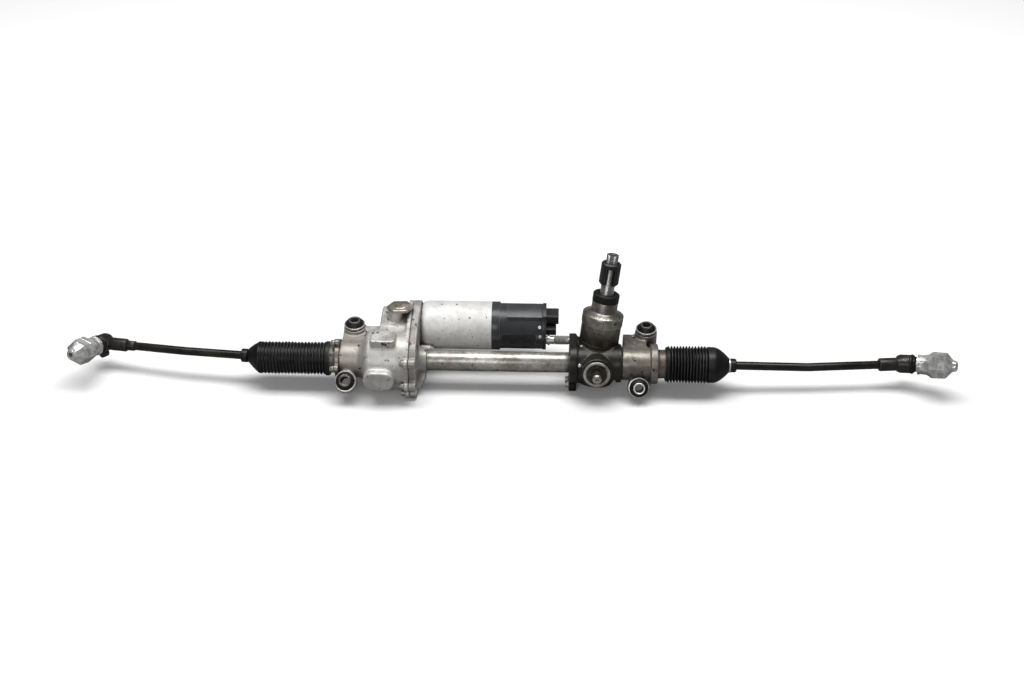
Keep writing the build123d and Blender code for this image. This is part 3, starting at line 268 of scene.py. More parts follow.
def new_group(name, inputs, result):
    """A shader node group with named number inputs and one number as its result."""
    group = bpy.data.node_groups.new(name, "ShaderNodeTree")
    for label, value in inputs.items():
        socket = group.interface.new_socket(label, in_out="INPUT", socket_type="NodeSocketFloat")
        socket.default_value = value
    group.interface.new_socket(result, in_out="OUTPUT", socket_type="NodeSocketFloat")
    return group, group.nodes.new("NodeGroupInput").outputs, group.nodes.new("NodeGroupOutput").inputs[0]


def own_place(tree):
    """Where a point lies, on the object's own coordinates."""
    return add_node(tree, "TexCoord").outputs["Object"]


def along_axis(tree, direction):
    """How far a point lies along a direction, on the object's own coordinates."""
    return add_node(tree, "VectorMath", {0: own_place(tree), 1: direction},
                    operation="DOT_PRODUCT").outputs["Value"]


def grain_height(tree, scale, detail, roughness=0.5, distortion=0.0):
    """Plain noise on the object's own coordinates, as a height."""
    return add_node(tree, "TexNoise", {"Vector": own_place(tree), "Scale": scale, "Detail": detail,
                                       "Roughness": roughness, "Distortion": distortion}).outputs["Fac"]


def blotches(tree, scale, low, high, detail=6.0, roughness=0.6, stretch=(1, 1, 1), seed=0.0):
    """Noise on the object's own coordinates, cut to a soft mask between two levels."""
    moved = add_node(tree, "Mapping", {"Vector": own_place(tree), "Scale": stretch,
                                       "Location": (seed, seed, 0)})
    cloud = add_node(tree, "TexNoise", {"Vector": moved.outputs[0], "Scale": scale, "Detail": detail,
                                        "Roughness": roughness})
    return level(tree, cloud.outputs["Fac"], low, high)


def tint(tree, factor, under, over):
    """One colour laid over another by a mask."""
    made = tree.nodes.new("ShaderNodeMix")
    made.data_type = "RGBA"
    for socket, value in ((made.inputs[0], factor), (made.inputs[6], under), (made.inputs[7], over)):
        if isinstance(value, bpy.types.NodeSocket):
            tree.links.new(value, socket)
        elif isinstance(value, (tuple, list)):
            socket.default_value = (*value, 1.0)
        else:
            socket.default_value = value
    return made.outputs[2]


# Worn edges: where a rounded normal leaves the true one, broken up by noise
edge_group, edge_in, edge_result = new_group("worn_edges", {"Radius": 0.0012, "Amount": 1.0}, "Mask")
rounded = add_node(edge_group, "Bevel", {"Radius": edge_in["Radius"]}, samples=4)
true_normal = add_node(edge_group, "NewGeometry").outputs["Normal"]
agreement = add_node(edge_group, "VectorMath", {0: rounded.outputs[0], 1: true_normal},
                     operation="DOT_PRODUCT").outputs["Value"]
turned_away = number(edge_group, "SUBTRACT", 1.0, agreement)
sharpness = level(edge_group, turned_away, 0.004, 0.06)
broken = number(edge_group, "MULTIPLY", sharpness, blotches(edge_group, 160.0, 0.25, 0.52))
edge_group.links.new(number(edge_group, "MULTIPLY", broken, edge_in["Amount"], clamp=True), edge_result)

# Painted shade in corners: where near surfaces shut the light out, thicker in patches
corner_shade_group, corner_shade_in, corner_shade_result = new_group("corner_painted_shade", {"Reach": 0.012, "Amount": 1.0}, "Mask")
openness = add_node(corner_shade_group, "AmbientOcclusion", {"Distance": corner_shade_in["Reach"]}, samples=6)
closeness = level(corner_shade_group, openness.outputs["AO"], 0.85, 0.35)
patchy = number(corner_shade_group, "MULTIPLY_ADD", blotches(corner_shade_group, 70.0, 0.3, 0.7), 0.7, 0.5)
patched = number(corner_shade_group, "MULTIPLY", closeness, patchy)
corner_shade_group.links.new(number(corner_shade_group, "MULTIPLY", patched, corner_shade_in["Amount"], clamp=True),
                       corner_shade_result)


def group_mask(tree, group, **values):
    """The mask that a shared group puts out with this material's own values."""
    made = tree.nodes.new("ShaderNodeGroup")
    made.node_tree = group
    for label, value in values.items():
        made.inputs[label].default_value = value
    return made.outputs[0]


def new_material(name, metallic, **sockets):
    """A material with a Principled BSDF, whose plain values are set on its own sockets."""
    made = bpy.data.materials.new(name)
    made.use_nodes = True
    shader = made.node_tree.nodes["Principled BSDF"]
    shader.inputs["Metallic"].default_value = metallic
    for label, value in sockets.items():
        shader.inputs[label.replace("_", " ")].default_value = value
    return made, made.node_tree, shader


def bump(tree, shader, height, depth, strength):
    """Lays a height on a surface through a Bump node; depth is in metres."""
    made = add_node(tree, "Bump", {"Height": height, "Distance": depth, "Strength": strength})
    tree.links.new(made.outputs[0], shader.inputs["Normal"])


def scaled(colour, factor):
    """A colour made lighter or darker."""
    return [min(1.0, channel * factor) for channel in colour]


def cast_finish(name, colour, stain, dirt_and_shade, stain_cut, dark_end=None, rough=0.42, edge=1.5,
                metallic=0.45, mark_cut=0.645, mottling=0.55):
    """Cast aluminium: cloudy grey, mottled stains, dark marks, painted shade in corners in the colour of
    dirt, and bright edges.
    """
    made, tree, shader = new_material(name, metallic)
    cloudy = blotches(tree, 14.0, 0.3, 0.72, seed=3.0)
    pale = tint(tree, cloudy, scaled(colour, 0.68), scaled(colour, 1.15))
    stained = blotches(tree, 24.0, *stain_cut, detail=9.0, roughness=0.7, seed=7.0)
    if dark_end is not None:
        near = level(tree, along_axis(tree, rack_direction), dark_end[1], dark_end[0])
        stained = number(tree, "MAXIMUM", stained, number(tree, "MULTIPLY", near, 0.7))
    coloured = tint(tree, number(tree, "MULTIPLY", stained, 0.85), pale, stain)
    mottle = blotches(tree, 110.0, 0.40, 0.70, detail=7.0, roughness=0.75, seed=21.0)
    mottled = tint(tree, number(tree, "MULTIPLY", mottle, mottling), coloured, scaled(stain, 0.75))
    spots = blotches(tree, 46.0, mark_cut, mark_cut + 0.02, detail=7.0, roughness=0.66, seed=23.0)
    pits = blotches(tree, 125.0, 0.655, 0.69, detail=3.0, roughness=0.5, seed=1.0)
    pitted = tint(tree, number(tree, "MAXIMUM", spots, pits), mottled, scaled(dirt_and_shade, 0.4))
    # Painted shade: corners where near surfaces shut the light out darken to the dirt colour.
    corner_shade_mask = group_mask(tree, corner_shade_group, Reach=0.016)
    corner_shaded = tint(tree, corner_shade_mask, pitted, dirt_and_shade)
    worn = group_mask(tree, edge_group, Radius=0.0016, Amount=0.8)
    tree.links.new(tint(tree, worn, corner_shaded, scaled(colour, edge)), shader.inputs["Base Color"])
    uneven = number(tree, "MULTIPLY_ADD", blotches(tree, 40.0, 0.3, 0.7, seed=5.0), 0.2, rough - 0.08)
    tree.links.new(number(tree, "MULTIPLY_ADD", corner_shade_mask, 0.25, uneven), shader.inputs["Roughness"])
    sand = grain_height(tree, 620.0, 4.0, roughness=0.7)
    lumps = number(tree, "MULTIPLY_ADD", blotches(tree, 120.0, 0.2, 0.8, detail=2.0, seed=2.0), 0.8, sand)
    bump(tree, shader, number(tree, "SUBTRACT", lumps, number(tree, "MULTIPLY", pits, 1.6)), 0.4 * MM, 0.6)
    return made


light_casting = cast_finish("light_casting", (0.74, 0.73, 0.71), (0.31, 0.26, 0.21), (0.045, 0.04, 0.032),
                            stain_cut=(0.50, 0.80), dark_end=(-0.232, -0.212), mark_cut=0.635,
                            mottling=0.45)
cover_casting = cast_finish("cover_casting", (0.56, 0.55, 0.53), (0.24, 0.21, 0.18), (0.04, 0.036, 0.03),
                            stain_cut=(0.40, 0.74), mark_cut=0.62)
cast_piece("screw_housing", light_casting, 1.5 * MM)
cast_piece("drive_cover", cover_casting, 1.4 * MM)

# ------------------------------------------------------------------ left end cap and right casting
# The end cap carries the left boot's neck; the right casting carries the other neck and two
# bushings. Both are stained grey-brown by road dirt.
stained_casting = cast_finish("stained_casting", (0.44, 0.42, 0.385), (0.17, 0.137, 0.108),
                              (0.030, 0.024, 0.018), stain_cut=(0.38, 0.62), mark_cut=0.63, rough=0.34,
                              mottling=0.85, metallic=0.6)
cast_piece("left_end_cap", stained_casting, 1.1 * MM, softening=3)
cast_piece("right_housing", stained_casting, 1.4 * MM)

# ------------------------------------------------------------------ pinion housing
# The casting around rack and pinion, black-brown with old grease that leaked from the tower,
# and rubbed bare on its edges.
greasy_casting = cast_finish("greasy_casting", (0.075, 0.068, 0.058), (0.016, 0.014, 0.012),
                             (0.006, 0.005, 0.005), stain_cut=(0.22, 0.56), rough=0.30, edge=3.4)
cast_piece("pinion_housing", greasy_casting, 1.4 * MM)

# ------------------------------------------------------------------ motor
# Turned aluminium can of the electric motor, cloudy from handling, with small dark marks and
# softly rounded edges.


def edged_piece(node, material, round_edge):
    """A CAD node's form with its flat faces joined and its sharp edges rounded."""
    flat_within, sharp_from = radians(0.8), radians(30.0)
    work = plain_copy(node)
    bmesh.ops.dissolve_limit(work, angle_limit=flat_within, verts=work.verts, edges=work.edges)
    sharp = [edge for edge in work.edges if edge.is_manifold and edge.calc_face_angle() > sharp_from]
    bmesh.ops.bevel(work, geom=sharp, offset=round_edge, affect="EDGES", segments=2, profile=0.5,
                    clamp_overlap=True, material=-1)
    add_piece(f"{node}_finish", work, material, node)


# Turning marks: fine rings across an axis, as a height
ring_group, ring_in, ring_result = new_group("turned_rings", {"Along": 0.0, "Per Metre": 900.0}, "Height")
ring_place = add_node(ring_group, "CombineXYZ", {
    "X": number(ring_group, "MULTIPLY", ring_in["Along"], ring_in["Per Metre"])})
rings = add_node(ring_group, "TexNoise", {"Vector": ring_place.outputs[0], "Scale": 1.0, "Detail": 5.0,
                                          "Roughness": 0.75})
ring_group.links.new(rings.outputs["Fac"], ring_result)


def turned_finish(name, colour, patina, axis, metallic=0.85, rough=0.32, patina_cut=(0.45, 0.7),
                  ring_depth=0.04, corner_shade_amount=0.8, wear=0.8, edge=1.3, nick_cut=0.66, nick_scale=80.0,
                  mottling=0.4, dark_foot=None, foot_axis=None):
    """Turned or drawn metal: fine rings, cloudy patina, small dark marks, painted shade in corners and
    bright edges.
    """
    dark_mark = (0.04, 0.035, 0.03)
    made, tree, shader = new_material(name, metallic)
    cloudy = blotches(tree, 18.0, 0.3, 0.7, seed=4.0)
    pale = tint(tree, cloudy, scaled(colour, 0.84), scaled(colour, 1.08))
    patches = blotches(tree, 26.0, *patina_cut, detail=9.0, roughness=0.7, seed=9.0)
    aged = tint(tree, number(tree, "MULTIPLY", patches, 0.8), pale, patina)
    mottle = blotches(tree, 120.0, 0.42, 0.68, detail=7.0, roughness=0.75, seed=22.0)
    mottled = tint(tree, number(tree, "MULTIPLY", mottle, mottling), aged, scaled(patina, 0.8))
    if dark_foot is not None:
        near = level(tree, along_axis(tree, foot_axis or axis), dark_foot[1], dark_foot[0])
        mottled = tint(tree, number(tree, "MULTIPLY", near, 0.9), mottled, scaled(patina, 0.45))
    nicks = blotches(tree, nick_scale, nick_cut, nick_cut + 0.02, detail=4.0, seed=6.0)
    marked = tint(tree, nicks, mottled, dark_mark)
    # Painted shade: corners where near surfaces shut the light out darken to a deep patina colour.
    corner_shade_mask = group_mask(tree, corner_shade_group, Reach=0.010, Amount=corner_shade_amount)
    corner_shaded = tint(tree, corner_shade_mask, marked, scaled(patina, 0.25))
    worn = group_mask(tree, edge_group, Radius=0.0012, Amount=wear)
    tree.links.new(tint(tree, worn, corner_shaded, scaled(colour, edge)), shader.inputs["Base Color"])
    smear = blotches(tree, 34.0, 0.25, 0.75, seed=8.0)
    uneven = level(tree, smear, low=rough - 0.08, high=rough + 0.12)
    tree.links.new(number(tree, "ADD", uneven, number(tree, "MULTIPLY", corner_shade_mask, 0.3)),
                   shader.inputs["Roughness"])
    lines = tree.nodes.new("ShaderNodeGroup")
    lines.node_tree = ring_group
    tree.links.new(along_axis(tree, axis), lines.inputs["Along"])
    bump(tree, shader, number(tree, "SUBTRACT", lines.outputs[0], nicks), ring_depth * MM, 0.6)
    return made


motor_metal = turned_finish("motor_metal", (0.80, 0.795, 0.78), (0.46, 0.445, 0.42), rack_direction,
                            metallic=0.20, rough=0.56, patina_cut=(0.5, 0.85), ring_depth=0.02,
                            nick_cut=0.655, nick_scale=115.0, mottling=0.35)
edged_piece("motor_case", motor_metal, 1.2 * MM)

# ------------------------------------------------------------------ rack tube
# Drawn steel tube that carries the rack between the castings, still shiny, with warm brown
# stains and painted shade that darkens its lower front side.
# Painted shade: the tube darkens on its lower front side, along this axis.
tube_painted_shade_axis = (0.0, 0.588, 0.809)
tube_painted_shade = (-0.026, -0.006)                         # full below the first place, none above the second
tube_metal = turned_finish("tube_metal", (0.78, 0.76, 0.72), (0.20, 0.168, 0.13), rack_direction,
                           metallic=0.8, rough=0.34, patina_cut=(0.44, 0.72), ring_depth=0.03,
                           nick_cut=0.66, nick_scale=120.0, mottling=0.75, dark_foot=tube_painted_shade,
                           foot_axis=tube_painted_shade_axis)
edged_piece("rack_tube", tube_metal, 0.4 * MM)

# ------------------------------------------------------------------ electronics cover
# Glass-filled black plastic over the motor's electronics, with an end plate that holds both
# connectors. Faint moulding grain, grey scuffs on edges.


def plastic_finish(name, colour, scuff, rough=0.42, corner_shade_share=0.5):
    """Moulded plastic: fine grain, scuffed edges, painted shade darkening its corners."""
    made, tree, shader = new_material(name, 0.0)
    cloudy = blotches(tree, 30.0, 0.3, 0.75, seed=2.0)
    base = tint(tree, cloudy, scaled(colour, 0.8), scaled(colour, 1.25))
    # Painted shade: corners where near surfaces shut the light out darken the plastic.
    corner_shade_mask = group_mask(tree, corner_shade_group, Reach=0.008)
    corner_shaded_base = tint(tree, number(tree, "MULTIPLY", corner_shade_mask, corner_shade_share), base, scaled(colour, 0.4))
    worn = group_mask(tree, edge_group, Radius=0.001, Amount=0.6)
    scratched = blotches(tree, 60.0, 0.66, 0.74, detail=8.0, roughness=0.8, stretch=(1, 4, 4), seed=5.0)
    rubbed = number(tree, "MAXIMUM", worn, number(tree, "MULTIPLY", scratched, 0.35))
    tree.links.new(tint(tree, rubbed, corner_shaded_base, scuff), shader.inputs["Base Color"])
    tree.links.new(level(tree, cloudy, low=rough - 0.07, high=rough + 0.12), shader.inputs["Roughness"])
    bump(tree, shader, grain_height(tree, 900.0, 2.0), 0.05 * MM, 0.35)
    return made


cover_plastic = plastic_finish("cover_plastic", (0.036, 0.037, 0.040), (0.28, 0.28, 0.29), rough=0.30,
                               corner_shade_share=0.8)
edged_piece("electronics_cover", cover_plastic, 0.9 * MM)
connector_plastic = plastic_finish("connector_plastic", (0.020, 0.020, 0.021), (0.14, 0.14, 0.15))
edged_piece("connector_plate", connector_plastic, 0.7 * MM)

# ------------------------------------------------------------------ sensor lead
# A short lead from the electronics to the torque sensor: a bright metal plug, then a grey
# corrugated sleeve that enters the pinion housing's joint plate.


def spun(axis_point, axis, outline, steps=64):
    """A closed outline, given as (along, radius) points, spun about an axis."""
    work = bmesh.new()
    along = Vector(axis).normalized()
    outward = along.orthogonal().normalized()
    ring = [work.verts.new(Vector(axis_point) + along * a + outward * r) for a, r in outline]
    edges = [work.edges.new((ring[i], ring[(i + 1) % len(ring)])) for i in range(len(ring))]
    bmesh.ops.spin(work, geom=edges, cent=axis_point, axis=along, dvec=(0, 0, 0), angle=2 * pi,
                   steps=steps, use_merge=True)
    bmesh.ops.recalc_face_normals(work, faces=work.faces)
    return work


lead_low, lead_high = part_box("sensor_lead")
lead_length = lead_high.x - lead_low.x
lead_start = (lead_low.x, (lead_low.y + lead_high.y) / 2, (lead_low.z + lead_high.z) / 2)
lead_outer = (lead_high.y - lead_low.y) / 2
lead_bore, plug_barrel = 3 * MM, 7.2 * MM
plug_length, sleeve_bore, sleeve_overlap = 16.0 * MM, 4 * MM, 1 * MM
sleeve_pitch, valley_radius, ridge_radius = 2.6 * MM, 6.6 * MM, 7.7 * MM
plug_outline = [(0.0, lead_bore), (0.0, 7.3 * MM), (2.6 * MM, 7.5 * MM), (3.0 * MM, lead_outer),
                (6.0 * MM, lead_outer), (6.4 * MM, plug_barrel), (13.5 * MM, plug_barrel),
                (plug_length, 5.6 * MM), (plug_length, lead_bore)]
plug_metal = turned_finish("plug_metal", (0.62, 0.61, 0.58), (0.30, 0.27, 0.22), rack_direction, rough=0.3)
add_piece("sensor_plug", spun(lead_start, rack_direction, plug_outline), plug_metal, "sensor_lead")

sleeve_start, sleeve_end = plug_length - sleeve_overlap, lead_length - 0.1 * MM
sleeve_outline = [(sleeve_start, sleeve_bore)]
ridge_place = sleeve_start
while ridge_place + sleeve_pitch < lead_length:
    sleeve_outline += [(ridge_place, valley_radius), (ridge_place + 0.5 * MM, ridge_radius),
                       (ridge_place + 1.7 * MM, ridge_radius), (ridge_place + 2.2 * MM, valley_radius)]
    ridge_place += sleeve_pitch
sleeve_outline += [(sleeve_end, valley_radius), (sleeve_end, sleeve_bore)]
sleeve_plastic = plastic_finish("sleeve_plastic", (0.17, 0.17, 0.165), (0.40, 0.40, 0.38), rough=0.5)
add_detail("sensor_sleeve", spun(lead_start, rack_direction, sleeve_outline, steps=48), sleeve_plastic,
           "housing")

# ------------------------------------------------------------------ steering tower
# Turned steel tower of the torque sensor with a split band, a rubber seal, the ground input
# shaft and the black coupling sleeve clamped on it. Brown patina, darker towards the foot.
# The tower's colour darkens towards its foot below these heights.
tower_darker_below = (0.068, 0.089)                          # full below the first height, none above the second
tower_steel = turned_finish("tower_steel", (0.50, 0.475, 0.43), (0.115, 0.098, 0.078), tower_direction,
                            metallic=0.85, rough=0.33, patina_cut=(0.40, 0.66), ring_depth=0.05, edge=2.0,
                            mottling=0.7, wear=1.0, dark_foot=tower_darker_below)
band_steel = turned_finish("band_steel", (0.48, 0.46, 0.415), (0.15, 0.13, 0.10), tower_direction,
                           metallic=0.85, rough=0.3, ring_depth=0.05, edge=2.2, mottling=0.6)
shaft_steel = turned_finish("shaft_steel", (0.62, 0.61, 0.59), (0.35, 0.31, 0.25), tower_direction,
                            metallic=0.95, rough=0.24)
edged_piece("sensor_housing", tower_steel, 1.0 * MM)
edged_piece("sensor_band", band_steel, 0.6 * MM)
edged_piece("input_shaft", shaft_steel, 0.25 * MM)


def rubber_finish(name, colour, bloom, rough=0.55):
    """Aged rubber: near-black, with a faint grey bloom and dull patches."""
    made, tree, shader = new_material(name, 0.0, Specular_IOR_Level=0.35)
    old = blotches(tree, 45.0, 0.45, 0.8, detail=8.0, roughness=0.7, seed=11.0)
    worn = group_mask(tree, edge_group, Radius=0.0012, Amount=0.45)
    cover = number(tree, "MAXIMUM", number(tree, "MULTIPLY", old, 0.55), worn)
    tree.links.new(tint(tree, cover, colour, bloom), shader.inputs["Base Color"])
    tree.links.new(level(tree, old, low=rough - 0.12, high=rough + 0.15), shader.inputs["Roughness"])
    bump(tree, shader, grain_height(tree, 500.0, 5.0), 0.06 * MM, 0.4)
    return made


black_rubber = rubber_finish("black_rubber", (0.007, 0.007, 0.007), (0.022, 0.021, 0.020))
edged_piece("tower_seal", black_rubber, 0.5 * MM)
coupling_black = plastic_finish("coupling_black", (0.012, 0.012, 0.012), (0.11, 0.11, 0.11), rough=0.36)
edged_piece("coupling_sleeve", coupling_black, 0.5 * MM)

# ------------------------------------------------------------------ vent plate
# Six-sided sheet plate on the vent stub, brown and oily in patches, with a pressed dome.


def in_metres(outline):
    """An outline given in millimetres, in metres."""
    return [(along * MM, radius * MM) for along, radius in outline]


vent_lean, vent_thickness = radians(10.0), 5.5 * MM
vent_direction = Vector((0.0, sin(vent_lean), cos(vent_lean)))
vent_metal = turned_finish("vent_metal", (0.66, 0.61, 0.54), (0.13, 0.10, 0.075), tuple(vent_direction),
                           metallic=0.6, rough=0.36, patina_cut=(0.46, 0.60), ring_depth=0.01, wear=1.0)
edged_piece("vent_plate", vent_metal, 0.9 * MM)
vent_low, vent_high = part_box("vent_plate")
vent_top = (vent_low + vent_high) / 2 + vent_direction * (vent_thickness / 2 - 0.1 * MM)
dome_outline = in_metres([(0.0, 0.0), (0.0, 13.0), (0.9, 12.0), (1.3, 8.0), (1.4, 0.0)])
add_detail("vent_dome", spun(tuple(vent_top), tuple(vent_direction), dome_outline, steps=40), vent_metal,
           "housing")

# ------------------------------------------------------------------ boots over the inner joints
# Ribbed rubber boots from the castings' necks to their collars on the tie rods. Their ridges
# are a little uneven. Each boot is three pieces: the ribs follow the rack, the cone the rod.


def crest_highlight_finish(name, colour, bloom, crest, valley_radius, crest_radius):
    """Boot rubber: matt black, with a painted grey highlight on the crests of its ridges, in patches."""
    made, tree, shader = new_material(name, 0.0, Specular_IOR_Level=0.3)
    place = add_node(tree, "SeparateXYZ", {"Vector": own_place(tree)})
    flat = add_node(tree, "CombineXYZ", {"Y": place.outputs["Y"], "Z": place.outputs["Z"]})
    radius = add_node(tree, "VectorMath", {0: flat.outputs[0]}, operation="LENGTH").outputs["Value"]
    high = level(tree, radius, valley_radius, crest_radius)
    rubbed = blotches(tree, 55.0, 0.35, 0.7, detail=8.0, roughness=0.7, stretch=(0.4, 1, 1), seed=12.0)
    painted_crest_highlights = number(tree, "MULTIPLY", number(tree, "MULTIPLY", high, high), rubbed)
    cloudy = blotches(tree, 28.0, 0.4, 0.8, detail=7.0, seed=13.0)
    dusty = tint(tree, number(tree, "MULTIPLY", cloudy, 0.5), colour, bloom)
    # Painted highlight: the crests of the ridges are lightened to the crest colour.
    tree.links.new(tint(tree, number(tree, "MULTIPLY", painted_crest_highlights, 0.75), dusty, crest),
                   shader.inputs["Base Color"])
    tree.links.new(level(tree, cloudy, low=0.36, high=0.58), shader.inputs["Roughness"])
    bump(tree, shader, grain_height(tree, 420.0, 4.0), 0.05 * MM, 0.4)
    return made


# One ridge, as (share of the pitch, share of the depth)
rib_shape = [(0.0, 0.0), (0.10, 0.10), (0.22, 0.52), (0.33, 0.88), (0.44, 1.0), (0.56, 1.0), (0.67, 0.88),
             (0.78, 0.52), (0.90, 0.10)]


def rib_line(start, end, crest, depth, ribs, seed):
    """Outline of uneven ridges between two places, as (along, radius) points."""
    chance = random.Random(seed)
    pitch = (end - start) / ribs
    points = []
    for rib in range(ribs):
        foot = start + rib * pitch
        width = pitch * chance.uniform(0.90, 1.0)
        top = depth * chance.uniform(0.90, 1.06)
        points += [(foot + share * width, crest - depth + rise * top) for share, rise in rib_shape]
    return points


def wobble(work, amount):
    """Pushes each point of a boot out or along by slow noise, the same at shared places."""
    for vert in work.verts:
        away = Vector((0, vert.co.y, vert.co.z)).normalized()
        push = noise.noise(Vector((vert.co.x * 60, vert.co.y * 34, vert.co.z * 34)))
        lean = noise.noise(Vector((vert.co.x * 25 + 9, vert.co.y * 40, vert.co.z * 40)))
        vert.co += away * push * amount + Vector((lean * amount * 1.2, 0, 0))


def between(value, start, end):
    """How far a value has come from one end to the other, from 0 to 1."""
    return min(1.0, max(0.0, (value - start) / (end - start)))


boot_wall, boot_steps, boot_unevenness = 2.0 * MM, 112, 0.45 * MM
cuff_radius, cuff_bore, cuff_inside = 28.0 * MM, 24.1 * MM, 9 * MM
collar_radius, collar_bore, collar_overlap = 10.4 * MM, 8.0 * MM, 1.5 * MM
cone_points = 8


def boot_part(name, side, outline, inner, material, replaced, lean_to, lean_reach):
    """One stretch of a boot, closed by its inner wall, that bends from one body to the next."""
    outboard = 1 if side == "right" else -1
    first, last = outline[0][0], outline[-1][0]
    work = spun((0, 0, 0), (outboard, 0, 0), outline + [(last, inner[1]), (first, inner[0])], boot_steps)
    for vert in work.verts:
        share = between(abs(vert.co.x), *lean_reach)
        vert.co += Vector((0, lean_to.y, lean_to.z)) * share * share * (3 - 2 * share)
    wobble(work, boot_unevenness)
    piece = new_object(name, work, material, crease=50.0)
    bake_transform(piece)
    if replaced:
        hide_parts(replaced)


def make_boot(side, cuff_start, ribs_start, ribs_end, rib_count, crest, depth, seams, fullness, material):
    """Cuff and ribs, the cone's wide half, and the cone's narrow half at the collar."""
    clip_low, clip_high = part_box(f"neck_clip_{side}")
    lean_to = (clip_low + clip_high) / 2
    cone_end = min(abs(clip_low.x), abs(clip_high.x)) + collar_overlap
    leaning = (seams[0], cone_end)
    near = [(cuff_start, cuff_radius), (ribs_start - 1.5 * MM, cuff_radius)]
    near += rib_line(ribs_start, ribs_end, crest, depth, rib_count, seed=rib_count)
    near += [(ribs_end, crest - depth + depth * 0.3)]
    if seams[0] > ribs_end:
        near += [(ribs_end + 2 * MM, crest - 0.6 * MM), (seams[0], crest - 0.6 * MM)]
    edge = near[-1][1]
    boot_part(f"boot_ribs_{side}", side, near, (cuff_bore, edge - boot_wall), material,
              f"boot_{side}",
              lean_to, leaning)

    def cone_at(share):
        """Point of the cone's outline at a share of its length."""
        return (seams[0] + (cone_end - seams[0]) * share, edge + (collar_radius - edge) * share**fullness)

    split = (seams[1] - seams[0]) / (cone_end - seams[0])
    wide = [cone_at(split * step / cone_points) for step in range(cone_points + 1)]
    narrow = [cone_at(split + (1 - split) * step / cone_points) for step in range(cone_points + 1)]
    middle, seat_body = wide[-1][1] - boot_wall, f"inner_seat_body_{side}"
    boot_part(f"boot_shoulder_{side}", side, wide, (edge - boot_wall, middle), material,
              None, lean_to, leaning)
    boot_part(f"boot_cone_{side}", side, narrow, (middle, collar_bore), material,
              None, lean_to, leaning)


# The third colour of each boot is its painted highlight on the crests.
left_rubber = crest_highlight_finish("left_boot_rubber", (0.004, 0.004, 0.004), (0.012, 0.012, 0.012),
                           (0.12, 0.117, 0.113), valley_radius=0.0252, crest_radius=0.0274)
right_rubber = crest_highlight_finish("right_boot_rubber", (0.004, 0.004, 0.004), (0.014, 0.014, 0.014),
                            (0.11, 0.107, 0.103), valley_radius=0.0286, crest_radius=0.0308)
make_boot("left", cuff_start=0.278, ribs_start=0.2845, ribs_end=0.3950, rib_count=20, crest=0.0272,
          depth=0.0040, seams=(0.3952, 0.4060), fullness=1.3, material=left_rubber)
make_boot("right", cuff_start=0.281, ribs_start=0.2835, ribs_end=0.3490, rib_count=13, crest=0.0306,
          depth=0.0042, seams=(0.3600, 0.3740), fullness=1.6, material=right_rubber)

# ------------------------------------------------------------------ bands, collars and wire clip
# Rubber-black bands hold the boots' wide ends, collars their narrow ones, and a bright wire
# clip sits on the right collar.
edged_piece("boot_bands", black_rubber, 0.4 * MM)
collar_rubber = rubber_finish("collar_rubber", (0.007, 0.007, 0.007), (0.030, 0.029, 0.028), rough=0.42)
edged_piece("neck_clip_left", collar_rubber, 0.6 * MM)
edged_piece("neck_clip_right", collar_rubber, 0.6 * MM)
clip_low, clip_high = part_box("neck_clip_right")
clip_place = (clip_low + clip_high) / 2
clip_place.x = clip_low.x + 0.4 * MM
clip_outline = in_metres([(-1.6, 8.0), (-1.6, 11.6), (-1.0, 12.1), (1.0, 12.1), (1.6, 11.6), (1.6, 8.0)])
clip_steel = turned_finish("clip_steel", (0.88, 0.88, 0.87), (0.5, 0.48, 0.45), rack_direction, metallic=0.6,
                           rough=0.3, mottling=0.1)
add_detail("wire_clip_right", spun(clip_place, rack_direction, clip_outline), clip_steel, "rod_right")

# ------------------------------------------------------------------ mounting bushings
# Steel shells in the castings' ears, crowned black rubber, and steel sleeves whose end faces
# shine in a thin ring.
shell_metal = turned_finish("shell_metal", (0.78, 0.77, 0.75), (0.28, 0.24, 0.20), (0, 0, 1), metallic=0.8,
                            rough=0.30, patina_cut=(0.5, 0.8))
sleeve_metal = turned_finish("sleeve_metal", (0.19, 0.175, 0.155), (0.06, 0.05, 0.042), (0, 0, 1),
                             metallic=0.7, rough=0.34, edge=4.0, wear=1.0, patina_cut=(0.35, 0.6))
edged_piece("bushing_shells", shell_metal, 0.3 * MM)
edged_piece("bushing_rubbers", black_rubber, 0.8 * MM)
edged_piece("bushing_sleeves", sleeve_metal, 0.5 * MM)
front_right = mount_of["lower_bushing_right"]
sleeve_middle, sleeve_axis = Vector(front_right["pos_m"]), Vector(front_right["axis"])
sleeve_face = sleeve_middle + sleeve_axis * front_right["dims"]["length_mm"] / 2 * MM
face_outline = in_metres([(-1.0, 7.4), (-1.0, 9.4), (0.2, 9.4), (0.5, 9.0), (0.5, 7.8), (0.2, 7.4)])
add_detail("polished_sleeve_face", spun(sleeve_face, sleeve_axis, face_outline), clip_steel, "housing")

# ------------------------------------------------------------------ screws of the castings
# Flanged hexagon screws, zinc-grey and dull, with painted shade round their flanges, and small
# bright socket screws on the electronics cover and the pinion housing.
bolt_metal = turned_finish("bolt_metal", (0.52, 0.50, 0.46), (0.13, 0.105, 0.08), rack_direction,
                           metallic=0.8, rough=0.38, patina_cut=(0.40, 0.66), edge=1.6, corner_shade_amount=1.0)
edged_piece("housing_bolts", bolt_metal, 0.35 * MM)
